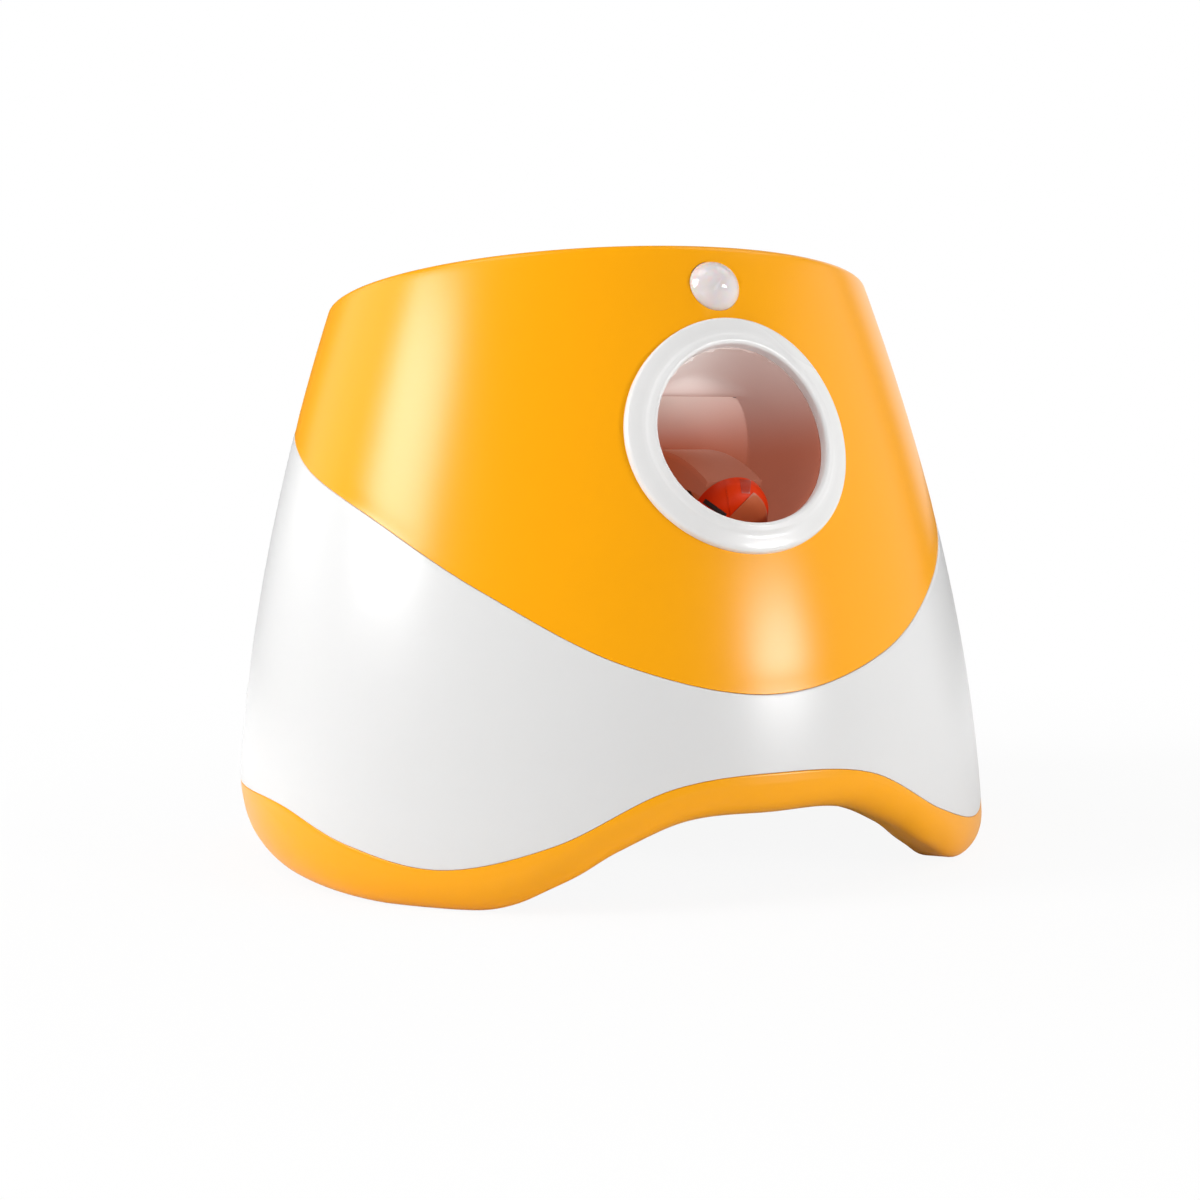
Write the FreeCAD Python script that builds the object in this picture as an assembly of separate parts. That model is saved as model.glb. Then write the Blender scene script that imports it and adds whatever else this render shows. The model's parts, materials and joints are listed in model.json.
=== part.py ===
import FreeCAD, Part
import math
import os

# Automatic ball launcher.  Millimetres, +Z up, front (the throwing side) towards -Y.
# The origin is on the floor, on the axis of the round body.
V = FreeCAD.Vector

# ---- driving sizes of the casing ----
body_radius = 127.5        # outer radius the wall would have at the floor
rim_radius = 93.0          # outer radius, rim_drop below the rim plane
bulge = 1.75               # power of the wall's inward curve
wall = 2.6
rim_mid = 184.3            # height of the rim plane on the axis
rim_drop = 4.3
rim_rise = 6.3             # the front of the rim stands this much higher, the back lower
rim_cap = 3.2              # height of the bowl's lip on top of the shell
foot_round = 12.0          # radius of the casing's bottom edge
foot_lift = 0.6            # the casing's bottom edge stays this far above the floor
ledge_thick = 2.2          # ring inside the skirt that rests on the pan
skin_gap = 0.15            # between a piece and the hole it fills

# heights of the colour borders and of the bottom edge, by angle from the front (degrees)
upper_border = [(0, 59.4), (20, 68.7), (40, 89.9), (60, 111.4), (80, 126.8), (100, 140.6),
                (120, 147.0), (150, 148.5), (180, 149.0)]
lower_border = [(0, 37.5), (15, 34.4), (30, 19.6), (45, 12.2), (60, 16.8), (75, 25.0), (90, 26.4),
                (110, 24.5), (125, 17.0), (140, 12.8), (155, 18.5), (168, 24.5), (180, 26.0)]
front_arch = [(0, 25.0), (12, 24.2), (22, 16.5), (32, 6.0), (42, 0.0)]

# ---- ball path ----
ball_radius = 25.0
bore = ball_radius + 2.0   # inner radius of the launch tube and of the drop neck
tube_wall = 2.4
launch_tilt = 18.0         # the tube rises this much towards the front
port_height = 133.7        # height of the port's centre on the casing
neck_inset = 1.0           # from the bowl's wall to the edge of the drop neck
neck_clear = 1.4           # the neck's top stands this far above the launch tube
bowl_radius = 78.0
bowl_slope = 12.0          # height of the bowl's sloping floor
bowl_wall = 2.2
slot_half = 14.0           # half width of the slot in the tube's floor
slot_front = -106.0
bezel_radius = 35.6
bezel_thick = 2.0
lip_wall = 2.6
lip_rise = 2.0

# ---- striker ----
pivot_y = -59.0
pivot_z = 50.0
arm_length = 71.6
arm_lean = 33.0            # forward lean of the arm at rest
arm_thick = 10.0
hub_radius = 8.5
hub_half = 8.0
paddle_radius = 11.6
paddle_thick = 8.0
shaft_radius = 3.0
fit_gap = 0.05             # radial running clearance of every shaft
press_gap = 0.01           # radial gap where a piece is keyed to its shaft
gate_radius = 80.5
gate_wall = 2.0
gate_half = 9.0
gate_span = 45.0
spring_wire = 0.8
spring_radius = 6.6
spring_turns = 3.6
buffer_place = 40.0        # distance of the stop buffer from the pivot
buffer_thick = 6.0

# ---- frame plates and gears (all shafts lie along X) ----
plate_inner = 17.0
plate_thick = 3.0
gearbox_gap = 24.0         # between the right plate and the gearbox plate
bush_wall = 2.0
bush_flange = 0.6
pressure_angle = 25.0
backlash = 0.14
sector_module = 1.5
sector_teeth = 40
drive_teeth = 20
wheel_module = 1.0
wheel_teeth = 54
pinion_teeth = 15
fast_module = 0.8
fast_teeth = 48
motor_teeth = 12
drive_face = 6.0
wheel_face = 4.5
idler_angle = 20.0         # direction from the drive shaft to the idler shaft
motor_angle = -60.0        # direction from the idler shaft to the motor shaft
axle_radius = 2.0
motor_shaft_radius = 1.15
motor_radius = 14.0
motor_length = 32.0

# ---- base ----
pan_radius = 112.0
pan_bottom = 14.0
pan_thick = 3.0
ramp_back = -54.4          # in front of this y the pan rises towards the front arch
ramp_slope = 0.1927
foot_pad_width = 3.6
foot_pad_thick = 2.0
foot_pad_half = 8.0        # half the angle that a pad spans
foot_pad_angles = (54, 140, 220, 306)
post_radius = 4.5
post_place = 103.0
post_angles = (62, 118, 242, 298)
post_top = 38.0
screw_radius = 1.5

# ---- rear panel ----
panel_height = 100.0
panel_width = 62.0
panel_tall = 32.0
panel_depth = 7.0
button_radius = 6.0
button_travel = 1.5
button_place = 17.0
jack_height = 56.0

rim_height = rim_mid - rim_drop
pan_top = pan_bottom + pan_thick
round_top = foot_round + foot_lift


# ---- small helpers ----
def cylinder(radius, length, start, direction=V(0, 0, 1)):
    return Part.makeCylinder(radius, length, start, direction)


def x_rod(radius, x0, x1, y, z):
    return cylinder(radius, x1 - x0, V(x0, y, z), V(1, 0, 0))


def x_ring(outer, inner, x0, x1, y, z):
    return x_rod(outer, x0, x1, y, z).cut(x_rod(inner, x0 - 1, x1 + 1, y, z))


def block(x0, x1, y0, y1, z0, z1):
    return Part.makeBox(x1 - x0, y1 - y0, z1 - z0, V(x0, y0, z0))


def x_prism(points, x0, x1):
    """Extrude a polygon given as (y, z) points along X."""
    ring = [V(x0, y, z) for y, z in points]
    face = Part.Face(Part.makePolygon(ring + ring[:1]))
    return face.extrude(V(x1 - x0, 0, 0))


def polar(radius, angle, z=0.0):
    """A point at an angle from the front of the body."""
    a = math.radians(angle)
    return V(radius * math.sin(a), -radius * math.cos(a), z)


def slot_prism(width, height, z0, z1, corner):
    """A rounded rectangle about the Z axis, width along X and height along Y."""
    solid = block(-width / 2, width / 2, -height / 2, height / 2, z0, z1)
    edges = [e for e in solid.Edges if abs(e.Vertexes[0].X - e.Vertexes[1].X) < 1e-6
             and abs(e.Vertexes[0].Y - e.Vertexes[1].Y) < 1e-6]
    return solid.makeFillet(corner, edges)


# ---- the casing's surface of revolution ----
def casing_radius(z):
    """Outer radius of the casing at a height, without the bottom rounding."""
    return body_radius - (body_radius - rim_radius) * (max(z, 0.0) / rim_height) ** bulge


def outer_radius(z):
    """Outer radius with the rounded bottom edge."""
    drop = max(round_top - z, 0.0)
    return casing_radius(max(z, round_top)) - foot_round + math.sqrt(max(foot_round ** 2 - drop ** 2, 0.0))


def casing_slope(z):
    """Upward tilt of the casing's outward normal, in degrees."""
    return math.degrees(math.atan((casing_radius(z - 1) - casing_radius(z + 1)) / 2))


def meridian(offset, z0, z1):
    """The casing's section, moved out by offset, as one edge from z0 to z1."""
    steps = max(3, int((z1 - z0) / 24) + 2)
    heights = [z0 + (z1 - z0) * i / (steps - 1) for i in range(steps)]
    curve = Part.BSplineCurve()
    curve.interpolate(Points=[V(casing_radius(z) + offset, 0, z) for z in heights])
    return curve.toShape()


def casing_band(outer, inner, z0, z1):
    """A full ring of wall between two offsets of the casing's surface."""
    outside = meridian(outer, z0, z1)
    inside = meridian(inner, z0, z1)
    o0, o1 = outside.Vertexes[0].Point, outside.Vertexes[-1].Point
    i0, i1 = inside.Vertexes[0].Point, inside.Vertexes[-1].Point
    wire = Part.Wire([outside, Part.makeLine(o1, i1), inside.reversed(), Part.makeLine(i0, o0)])
    return Part.Face(wire).revolve(V(0, 0, 0), V(0, 0, 1), 360)


def casing_core(outer, z0, z1):
    """Everything inside the casing's surface moved by outer, from z0 to z1."""
    outside = meridian(outer, z0, z1)
    low, high = outside.Vertexes[0].Point, outside.Vertexes[-1].Point
    wire = Part.Wire([outside, Part.makeLine(high, V(0, 0, z1)), Part.makeLine(V(0, 0, z1), V(0, 0, z0)),
                      Part.makeLine(V(0, 0, z0), low)])
    return Part.Face(wire).revolve(V(0, 0, 0), V(0, 0, 1), 360)


def foot_band():
    """The bottom ring of wall, whose outer edge is rounded under the body."""
    centre = V(casing_radius(round_top) - foot_round, 0, round_top)
    arcs = []
    for radius in (foot_round, foot_round - wall):
        side = V(radius * math.cos(math.radians(45)), 0, -radius * math.sin(math.radians(45)))
        arcs.append(Part.Arc(centre + V(radius, 0, 0), centre + side, centre + V(0, 0, -radius)).toShape())
    outer, inner = arcs
    wire = Part.Wire([outer, Part.makeLine(outer.Vertexes[-1].Point, inner.Vertexes[-1].Point),
                      inner.reversed(), Part.makeLine(inner.Vertexes[0].Point, outer.Vertexes[0].Point)])
    return Part.Face(wire).revolve(V(0, 0, 0), V(0, 0, 1), 360)


def border_points(table, radius):
    angles = [a for a, _ in table]
    heights = [z for _, z in table]
    round_trip = list(zip(angles, heights)) + [(360 - a, z) for a, z in reversed(table[1:-1])]
    return [polar(radius, a, z) for a, z in round_trip]


def below_border(table):
    """A solid that fills the space under a wavy border."""
    rings = []
    for radius in (pan_radius / 2, body_radius + 20):
        curve = Part.BSplineCurve()
        curve.interpolate(Points=border_points(table, radius), PeriodicFlag=True)
        rings.append(curve.toShape())
    ribbon = Part.makeRuledSurface(rings[0], rings[1])
    return ribbon.extrude(V(0, 0, -rim_mid - 40))


def above_rim(drop):
    """Everything above the tilted rim plane, moved down by drop."""
    big = 400.0
    solid = block(-big / 2, big / 2, -big / 2, big / 2, 0, big)
    tilt = math.degrees(math.atan(rim_rise / rim_radius))
    solid.rotate(V(0, 0, 0), V(1, 0, 0), -tilt)
    solid.translate(V(0, 0, rim_mid - drop))
    return solid


def on_surface(shape, angle, z):
    """Move a piece modelled on the XY plane, +Z outwards, onto the casing at an angle and height."""
    placed = shape.copy()
    placed.rotate(V(0, 0, 0), V(1, 0, 0), 90 - casing_slope(z))
    placed.translate(V(0, -casing_radius(z), z))
    placed.rotate(V(0, 0, 0), V(0, 0, 1), angle)
    return placed


def turned_about_pivot(shape, angle):
    """Lean a piece of the striker forward about its pivot."""
    leaned = shape.copy()
    leaned.rotate(V(0, 0, 0), V(1, 0, 0), angle)
    leaned.translate(V(0, pivot_y, pivot_z))
    return leaned


# ---- the launch tube's axis ----
tilt = math.radians(launch_tilt)
port_centre = V(0, -casing_radius(port_height), port_height)
tube_inward = V(0, math.cos(tilt), -math.sin(tilt))


def axis_height(y):
    """Height of the launch tube's axis at a y."""
    return port_height - (y - port_centre.y) * math.tan(tilt)


def tube_cylinder(radius, before, after):
    """A cylinder on the launch tube's axis, from before the port to after it."""
    return cylinder(radius, before + after, port_centre - tube_inward * before, tube_inward)


tube_outer = bore + tube_wall
neck_y = bore + neck_inset - bowl_radius
neck_top = axis_height(neck_y - tube_outer) + tube_outer / math.cos(tilt) + neck_clear
neck_foot = neck_top - 39.0
bowl_floor_rim = neck_top + bowl_slope


# ---- casing ----
upper_cut = below_border(upper_border)
lower_cut = below_border(lower_border)
top_z = rim_mid + rim_rise + 6
sensor_height = 178.0
sensor_radius = 7.8


def upper_shell():
    shell = casing_band(0, -wall, 40, top_z).cut(above_rim(rim_cap)).cut(upper_cut)
    shell = shell.cut(tube_cylinder(tube_outer + skin_gap, 20, 30))
    hole = cylinder(sensor_radius + skin_gap, 20, V(0, 0, -10))
    return shell.cut(on_surface(hole, 0, sensor_height))


def waist_shell():
    band = casing_band(0, -wall, round_top - 3, 152)
    shell = band.common(upper_cut).cut(lower_cut)
    shell = shell.cut(on_surface(slot_prism(panel_width, panel_tall, -15, 15, 6), 180, panel_height))
    shell = shell.cut(on_surface(cylinder(5.5 + skin_gap, 30, V(0, 0, -15)), 180, jack_height))
    inside = casing_core(-wall / 2, round_top, 60)
    for angle in post_angles:
        lug = cylinder(post_radius + 1.5, 8, polar(post_place, angle, post_top))
        web = block(-5, 5, -casing_radius(post_top), -post_place, post_top, post_top + 8)
        web.rotate(V(0, 0, 0), V(0, 0, 1), angle)
        shell = shell.fuse(lug.fuse(web).common(inside))
        shell = shell.cut(cylinder(screw_radius + fit_gap, 12, polar(post_place, angle, post_top - 1)))
    return shell


def base_skirt():
    band = casing_band(0, -wall, round_top, 44).fuse(foot_band())
    skirt = band.common(lower_cut)
    joined = cylinder(casing_radius(pan_top) - wall / 2, ledge_thick, V(0, 0, pan_top)).common(lower_cut)
    ledge = cylinder(casing_radius(pan_top + ledge_thick) - wall - skin_gap, ledge_thick, V(0, 0, pan_top))
    ledge = ledge.fuse(joined)
    ledge = ledge.cut(cylinder(post_place + post_radius + 1, ledge_thick + 2, V(0, 0, pan_top - 1)))
    ledge = ledge.cut(block(-body_radius, body_radius, -body_radius, ramp_back + 1, 0, 60))
    skirt = skirt.fuse(ledge).cut(arch_space())
    for angle in foot_pad_angles:
        skirt = skirt.cut(foot_pad(angle, skin_gap))
    return skirt


def arch_space():
    """The opening under the front of the skirt, as a prism along Y."""
    half = [(outer_radius(z) * math.sin(math.radians(a)), z) for a, z in front_arch]
    points = [V(-x, -body_radius - 10, z) for x, z in reversed(half[1:])]
    points += [V(x, -body_radius - 10, z) for x, z in half]
    curve = Part.BSplineCurve()
    curve.interpolate(Points=points)
    low_left, low_right = points[0] - V(0, 0, 10), points[-1] - V(0, 0, 10)
    edges = [curve.toShape(), Part.makeLine(points[-1], low_right), Part.makeLine(low_right, low_left),
             Part.makeLine(low_left, points[0])]
    return Part.Face(Part.Wire(edges)).extrude(V(0, body_radius * 0.6, 0))


def ramp_height(y):
    """Height of the pan's underside at a y."""
    return pan_bottom + ramp_slope * max(ramp_back - y, 0.0)


def port_bezel():
    ring = casing_band(bezel_thick, 0, 80, 185).common(tube_cylinder(bezel_radius, 30, 20))
    lip = casing_band(bezel_thick + lip_rise, bezel_thick, 80, 185)
    lip = lip.common(tube_cylinder(bore + lip_wall, 30, 20))
    return ring.fuse(lip).cut(tube_cylinder(bore, 40, 40))


def hopper_rim():
    """The lip on top of the casing and the bowl's upright wall."""
    lip = casing_core(0, rim_height - 20, top_z).common(above_rim(rim_cap))
    side = cylinder(bowl_radius + bowl_wall, top_z - wall_foot, V(0, 0, wall_foot))
    rim = lip.fuse(side).cut(above_rim(0)).cut(cylinder(bowl_radius, 60, V(0, 0, wall_foot)))
    return rim.cut(cylinder(bowl_radius + bowl_wall, wall_foot - 100, V(0, 0, 100)))


def hopper_bowl():
    """The bowl's floor, which slopes to the drop neck."""
    under = slope_solid(bowl_radius + bowl_wall, tube_outer, 0.0)
    hollow = slope_solid(bowl_radius, bore, bowl_wall)
    floor = under.fuse(cylinder(bowl_radius + bowl_wall, bowl_wall, V(0, 0, bowl_floor_rim)))
    return floor.cut(hollow).cut(cylinder(bore, 20, V(0, neck_y, neck_top - 10)))


wall_foot = bowl_floor_rim + bowl_wall


def slope_solid(wide, narrow, lift):
    """A skew cone from the bowl's wall down to the drop neck."""
    rings = [Part.Wire(Part.makeCircle(wide, V(0, 0, bowl_floor_rim + lift))),
             Part.Wire(Part.makeCircle(narrow, V(0, neck_y, neck_top + lift)))]
    cone = Part.makeLoft(rings, True, True)
    if lift:
        cone = cone.cut(block(-200, 200, -200, 200, bowl_floor_rim, 300))
        cone = cone.fuse(cylinder(wide, 30, V(0, 0, bowl_floor_rim)))
    return cone


def launch_tube():
    barrel = tube_cylinder(tube_outer, 12, 100).fuse(neck(tube_outer))
    barrel = barrel.cut(tube_cylinder(bore, 20, 110).fuse(neck(bore)))
    barrel = barrel.cut(block(-60, 60, tube_back, 90, 0, 200))
    slot_under = bore * 0.4
    slot = [(slot_front, 20), (slot_front, axis_height(slot_front) - slot_under),
            (70, axis_height(70) - slot_under), (70, 20)]
    barrel = barrel.cut(x_prism(slot, -slot_half, slot_half))
    for side in (-1, 1):
        eye = cylinder(2.5, 12, V(side * (bore - 2), neck_y, beam_height), V(side, 0, 0))
        barrel = barrel.cut(eye)
    return barrel.common(casing_core(0, 40, 185))


def neck(radius):
    return cylinder(radius, neck_top - neck_foot, V(0, neck_y, neck_foot))


beam_height = neck_top - 6
tube_back = neck_y + tube_outer + 1.0


def sensor_lens():
    dome_radius = 8.2
    dome = Part.makeSphere(dome_radius, V(0, 0, -2.6)).common(cylinder(sensor_radius, 20, V(0, 0, 0)))
    back = -wall - 0.6
    stem = cylinder(sensor_radius, 0.4 - back, V(0, 0, back))
    flange = cylinder(sensor_radius + 2, 1.2, V(0, 0, back - 1.2))
    hollow = Part.makeSphere(dome_radius - 1.4, V(0, 0, -2.6)).fuse(cylinder(6.4, 3.2, V(0, 0, back - 2)))
    lens = dome.fuse(stem).fuse(flange).cut(hollow)
    for x in (-7.6, 7.6):
        lens = lens.fuse(cylinder(1.2, 8.6 + back - 1.2, V(x, 0, -8.6)))
    return on_surface(lens, 0, sensor_height)


def sensor_can():
    can = cylinder(4.5, 3.4, V(0, 0, -8.6)).fuse(cylinder(4.9, 0.6, V(0, 0, -8.6)))
    return on_surface(can, 0, sensor_height)


def sensor_board():
    return on_surface(slot_prism(18, 15, -10.2, -8.6, 2), 0, sensor_height)


# ---- base pan ----
def base_pan():
    front = -pan_radius - 1
    line = [(y, ramp_height(y)) for y in (front, ramp_back, pan_radius + 1)]
    outline = line + [(y, z + pan_thick) for y, z in reversed(line)]
    pan = x_prism(outline, -pan_radius - 1, pan_radius + 1).common(cylinder(pan_radius, 60, V(0, 0, 0)))
    for angle in post_angles:
        pan = pan.fuse(cylinder(post_radius, post_top - pan_top, polar(post_place, angle, pan_top)))
        pan = pan.cut(cylinder(screw_radius + fit_gap, post_top + 5, polar(post_place, angle, 0)))
        pan = pan.cut(cylinder(screw_radius * 2 + skin_gap, screw_seat + 1, polar(post_place, angle, -1)))
    for x, y in board_posts:
        pan = pan.fuse(cylinder(3.5, board_z - pan_top, V(x, y, pan_top)))
    door = slot_prism(door_width + 2 * skin_gap, door_length + 2 * skin_gap, 0, 30, 4)
    door.translate(V(battery_x, battery_y, 0))
    return pan.cut(door)


screw_seat = pan_top + 6
board_z = pan_top + 8.0
board_x0, board_x1 = -38.0, 36.0
board_y0, board_y1 = 52.0, 96.0
board_posts = [(x, y) for x in (board_x0 + 5, board_x1 - 5) for y in (board_y0 + 5, board_y1 - 14)]
door_width = 48.0
door_length = 78.0
battery_x = -58.0
battery_y = 6.0
cell_radius = 9.2
cell_length = 65.0


def case_screws():
    group = []
    for angle in post_angles:
        shank = cylinder(screw_radius, post_top + 6 - screw_seat, polar(post_place, angle, screw_seat))
        head = cylinder(screw_radius * 2, 2.4, polar(post_place, angle, screw_seat - 2.4))
        group.append(shank.fuse(head))
    return Part.makeCompound(group)


def foot_pad(angle, gap=0.0):
    """A strip of rubber under the casing's rolled edge; with a gap, the recess that holds it."""
    inner = casing_radius(round_top) - foot_round
    outer = inner + foot_pad_width + gap
    half = foot_pad_half + math.degrees(gap / inner)
    corners = [V(inner - gap, 0, -gap), V(outer, 0, -gap), V(outer, 0, foot_pad_thick),
               V(inner - gap, 0, foot_pad_thick)]
    section = Part.Face(Part.makePolygon(corners + corners[:1]))
    strip = section.revolve(V(0, 0, 0), V(0, 0, 1), 2 * half)
    strip.rotate(V(0, 0, 0), V(0, 0, 1), angle - 90 - half)
    return strip


# ---- frame plates ----
drive_y = pivot_y + sector_module * (sector_teeth + drive_teeth) / 2
drive_z = pivot_z
idler_reach = wheel_module * (wheel_teeth + pinion_teeth) / 2
idler_y = drive_y + idler_reach * math.cos(math.radians(idler_angle))
idler_z = drive_z + idler_reach * math.sin(math.radians(idler_angle))
motor_reach = fast_module * (fast_teeth + motor_teeth) / 2
motor_y = idler_y + motor_reach * math.cos(math.radians(motor_angle))
motor_z = idler_z + motor_reach * math.sin(math.radians(motor_angle))
right_inner = plate_inner
right_outer = plate_inner + plate_thick
gearbox_inner = right_outer + gearbox_gap
gearbox_outer = gearbox_inner + plate_thick
drive_x = right_outer + 3.0
wheel_x = drive_x + drive_face + 1.5
fast_x = wheel_x + wheel_face + 1.5
motor_x = gearbox_outer

plate_front = pivot_y - 38.0
left_back = -8.0
right_back = motor_y + motor_radius + 2


def frame_plate(x0, back, top):
    outline = [(plate_front, ramp_height(plate_front) + pan_thick), (ramp_back, pan_top), (back, pan_top),
               (back, top), (tube_back, top), (tube_back, port_height), (plate_front, port_height)]
    plate = x_prism(outline, x0, x0 + plate_thick)
    plate = plate.cut(tube_cylinder(tube_outer + fit_gap, 30, 140))
    above = [(plate_front - 5, port_height - 8), (neck_y + tube_outer + 5, neck_top - 60)]
    line = x_prism([above[0], above[1], (above[1][0], 220), (above[0][0], 220)],
                   x0 - 1, x0 + plate_thick + 1)
    plate = plate.cut(line.fuse(tube_top_space(x0)))
    plate = plate.cut(x_rod(shaft_radius + bush_wall, x0 - 1, x0 + plate_thick + 1, pivot_y, pivot_z))
    return plate


def tube_top_space(x0):
    """Everything over the launch tube's axis, so that a plate only carries the tube from below."""
    solid = block(x0 - 1, x0 + plate_thick + 1, -200, 200, 0, 300)
    solid.rotate(V(0, 0, 0), V(1, 0, 0), -launch_tilt)
    solid.translate(port_centre)
    return solid


def left_plate():
    return frame_plate(-right_outer, left_back, 60.0)


def right_plate():
    plate = frame_plate(right_inner, right_back, 78.0)
    for y, z in ((drive_y, drive_z), (idler_y, idler_z)):
        plate = plate.cut(x_rod(axle_radius + bush_wall, right_inner - 1, right_outer + 1, y, z))
    return plate.cut(pillar_holes(right_inner))


pillar_radius = 3.2
pillar_reach = motor_radius + 2 * screw_radius + 1.04      # from the motor's axis to the pillar below it
pillar_way = math.radians(-56.3)
pillar_places = [(pivot_y + 27, pan_top + 3.6),
                 (motor_y + pillar_reach * math.cos(pillar_way),
                  motor_z + pillar_reach * math.sin(pillar_way)),
                 (idler_y + 22, 72.0)]


def pillar_holes(x0):
    holes = [x_rod(screw_radius + fit_gap, x0 - 1, x0 + plate_thick + 1, y, z)
             for y, z in pillar_places]
    return Part.makeCompound(holes)


def gearbox_plate():
    front = pivot_y + 21
    outline = [(front, pan_top), (right_back, pan_top), (right_back, 78.0), (front, 78.0)]
    plate = x_prism(outline, gearbox_inner, gearbox_outer)
    bush_radius = axle_radius + bush_wall
    for y, z, radius in ((drive_y, drive_z, bush_radius), (idler_y, idler_z, bush_radius),
                         (motor_y, motor_z, 3.2)):
        plate = plate.cut(x_rod(radius, gearbox_inner - 1, gearbox_outer + 1, y, z))
    return plate.cut(pillar_holes(gearbox_inner))


def gearbox_pillars():
    group = [x_ring(pillar_radius, screw_radius + fit_gap, right_outer, gearbox_inner, y, z)
             for y, z in pillar_places]
    return Part.makeCompound(group)


def pillar_screws():
    group = []
    for y, z in pillar_places:
        shank = x_rod(screw_radius, right_inner - 2, gearbox_outer, y, z)
        head = x_rod(screw_radius * 2, gearbox_outer, gearbox_outer + 2, y, z)
        nut = x_rod(screw_radius * 2, right_inner - 2.4, right_inner, y, z)
        group.append(shank.fuse(head).fuse(nut))
    return Part.makeCompound(group)


def bush(shaft, x0, flange_side, y, z):
    """A flanged bush through a plate that starts at x0."""
    outer = shaft + bush_wall
    body = x_ring(outer, shaft + fit_gap, x0, x0 + plate_thick, y, z)
    start = x0 - bush_flange if flange_side < 0 else x0 + plate_thick
    return body.fuse(x_ring(outer + 1.2, shaft + fit_gap, start, start + bush_flange, y, z))


def gear_bushes():
    group = []
    for y, z in ((drive_y, drive_z), (idler_y, idler_z)):
        group.append(bush(axle_radius, right_inner, -1, y, z))
        group.append(bush(axle_radius, gearbox_inner, 1, y, z))
    return Part.makeCompound(group)


# ---- gears ----
def gear_outline(module, teeth, phase, addendum=1.0):
    """Closed (y, z) outline of a spur gear with a tooth centred on the direction phase."""
    pitch = module * teeth / 2
    base = pitch * math.cos(math.radians(pressure_angle))
    tip = pitch + addendum * module
    root = pitch - 1.25 * module
    at_pitch = math.tan(math.radians(pressure_angle)) - math.radians(pressure_angle)
    half = math.pi / (2 * teeth) - backlash / (2 * pitch)
    start = max(root, base)
    flank = []
    for i in range(4):
        radius = start + (tip - start) * i / 3
        roll = math.sqrt(max((radius / base) ** 2 - 1, 0.0))
        flank.append((radius, half + at_pitch - (roll - math.atan(roll))))
    if root < base:
        flank.insert(0, (root, flank[0][1]))
    points = []
    for tooth in range(teeth):
        centre = math.radians(phase) + 2 * math.pi * tooth / teeth
        side = [(r, centre - a) for r, a in flank] + [(r, centre + a) for r, a in reversed(flank)]
        points += [(r * math.cos(a), r * math.sin(a)) for r, a in side]
    return points


def spur_gear(module, teeth, phase, x0, x1, y, z, addendum=1.0):
    outline = [(y + py, z + pz) for py, pz in gear_outline(module, teeth, phase, addendum)]
    return x_prism(outline, x0, x1)


def wedge(radius, first, last, x0, x1, y, z):
    """A sector of a disc from one direction to another, both in degrees from +Y towards +Z."""
    steps = int((last - first) / 15) + 2
    rim = [(y + radius * math.cos(math.radians(first + (last - first) * i / (steps - 1))),
            z + radius * math.sin(math.radians(first + (last - first) * i / (steps - 1))))
           for i in range(steps)]
    return x_prism([(y, z)] + rim, x0 - 1, x1 + 1)


sector_swing = 70.0
sector_pitch = 360.0 / sector_teeth
drive_pitch = 360.0 / drive_teeth


def sector_gear():
    x0, x1 = drive_x, drive_x + drive_face
    gear = spur_gear(sector_module, sector_teeth, 0, x0, x1, pivot_y, pivot_z)
    keep = wedge(60, -1.5 * sector_pitch, sector_swing + 2.75 * sector_pitch, x0, x1, pivot_y, pivot_z)
    hub = x_rod(hub_radius + 2, x0 - 2.0, x1, pivot_y, pivot_z)
    bore_cut = x_rod(shaft_radius + press_gap, x0 - 3, x1 + 1, pivot_y, pivot_z)
    return gear.common(keep).fuse(hub).cut(bore_cut).cut(sector_windows(x0, x1))


def sector_windows(x0, x1):
    holes = []
    for angle in (0, 36, 72):
        a = math.radians(angle)
        holes.append(x_rod(5.0, x0 - 1, x1 + 1, pivot_y + 19 * math.cos(a), pivot_z + 19 * math.sin(a)))
    return Part.makeCompound(holes)


def drive_gear():
    """The gear that draws the striker back: teeth on part of its rim, then a plain stretch."""
    x0, x1 = drive_x, drive_x + drive_face
    gear = spur_gear(sector_module, drive_teeth, 180 + drive_pitch / 2, x0, x1, drive_y, drive_z)
    keep = wedge(40, 18.0, 180 + 2 * drive_pitch, x0, x1, drive_y, drive_z)
    plain = x_rod(sector_module * (drive_teeth / 2 - 1.4), x0, x1, drive_y, drive_z)
    link = x_rod(7.0, x1, wheel_x, drive_y, drive_z)
    wheel = spur_gear(wheel_module, wheel_teeth, idler_angle, wheel_x, wheel_x + wheel_face,
                      drive_y, drive_z)
    collar = x_rod(4.5, wheel_x + wheel_face, gearbox_inner - bush_flange - 0.3, drive_y, drive_z)
    solid = gear.common(keep).fuse(plain).fuse(link).fuse(wheel).fuse(collar)
    for i in range(6):
        a = math.radians(60 * i + 30)
        hole = x_rod(4.5, wheel_x - 1, wheel_x + wheel_face + 1,
                     drive_y + 17.5 * math.cos(a), drive_z + 17.5 * math.sin(a))
        solid = solid.cut(hole)
    return solid.cut(x_rod(axle_radius + press_gap, x0 - 5, gearbox_outer, drive_y, drive_z))


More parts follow.
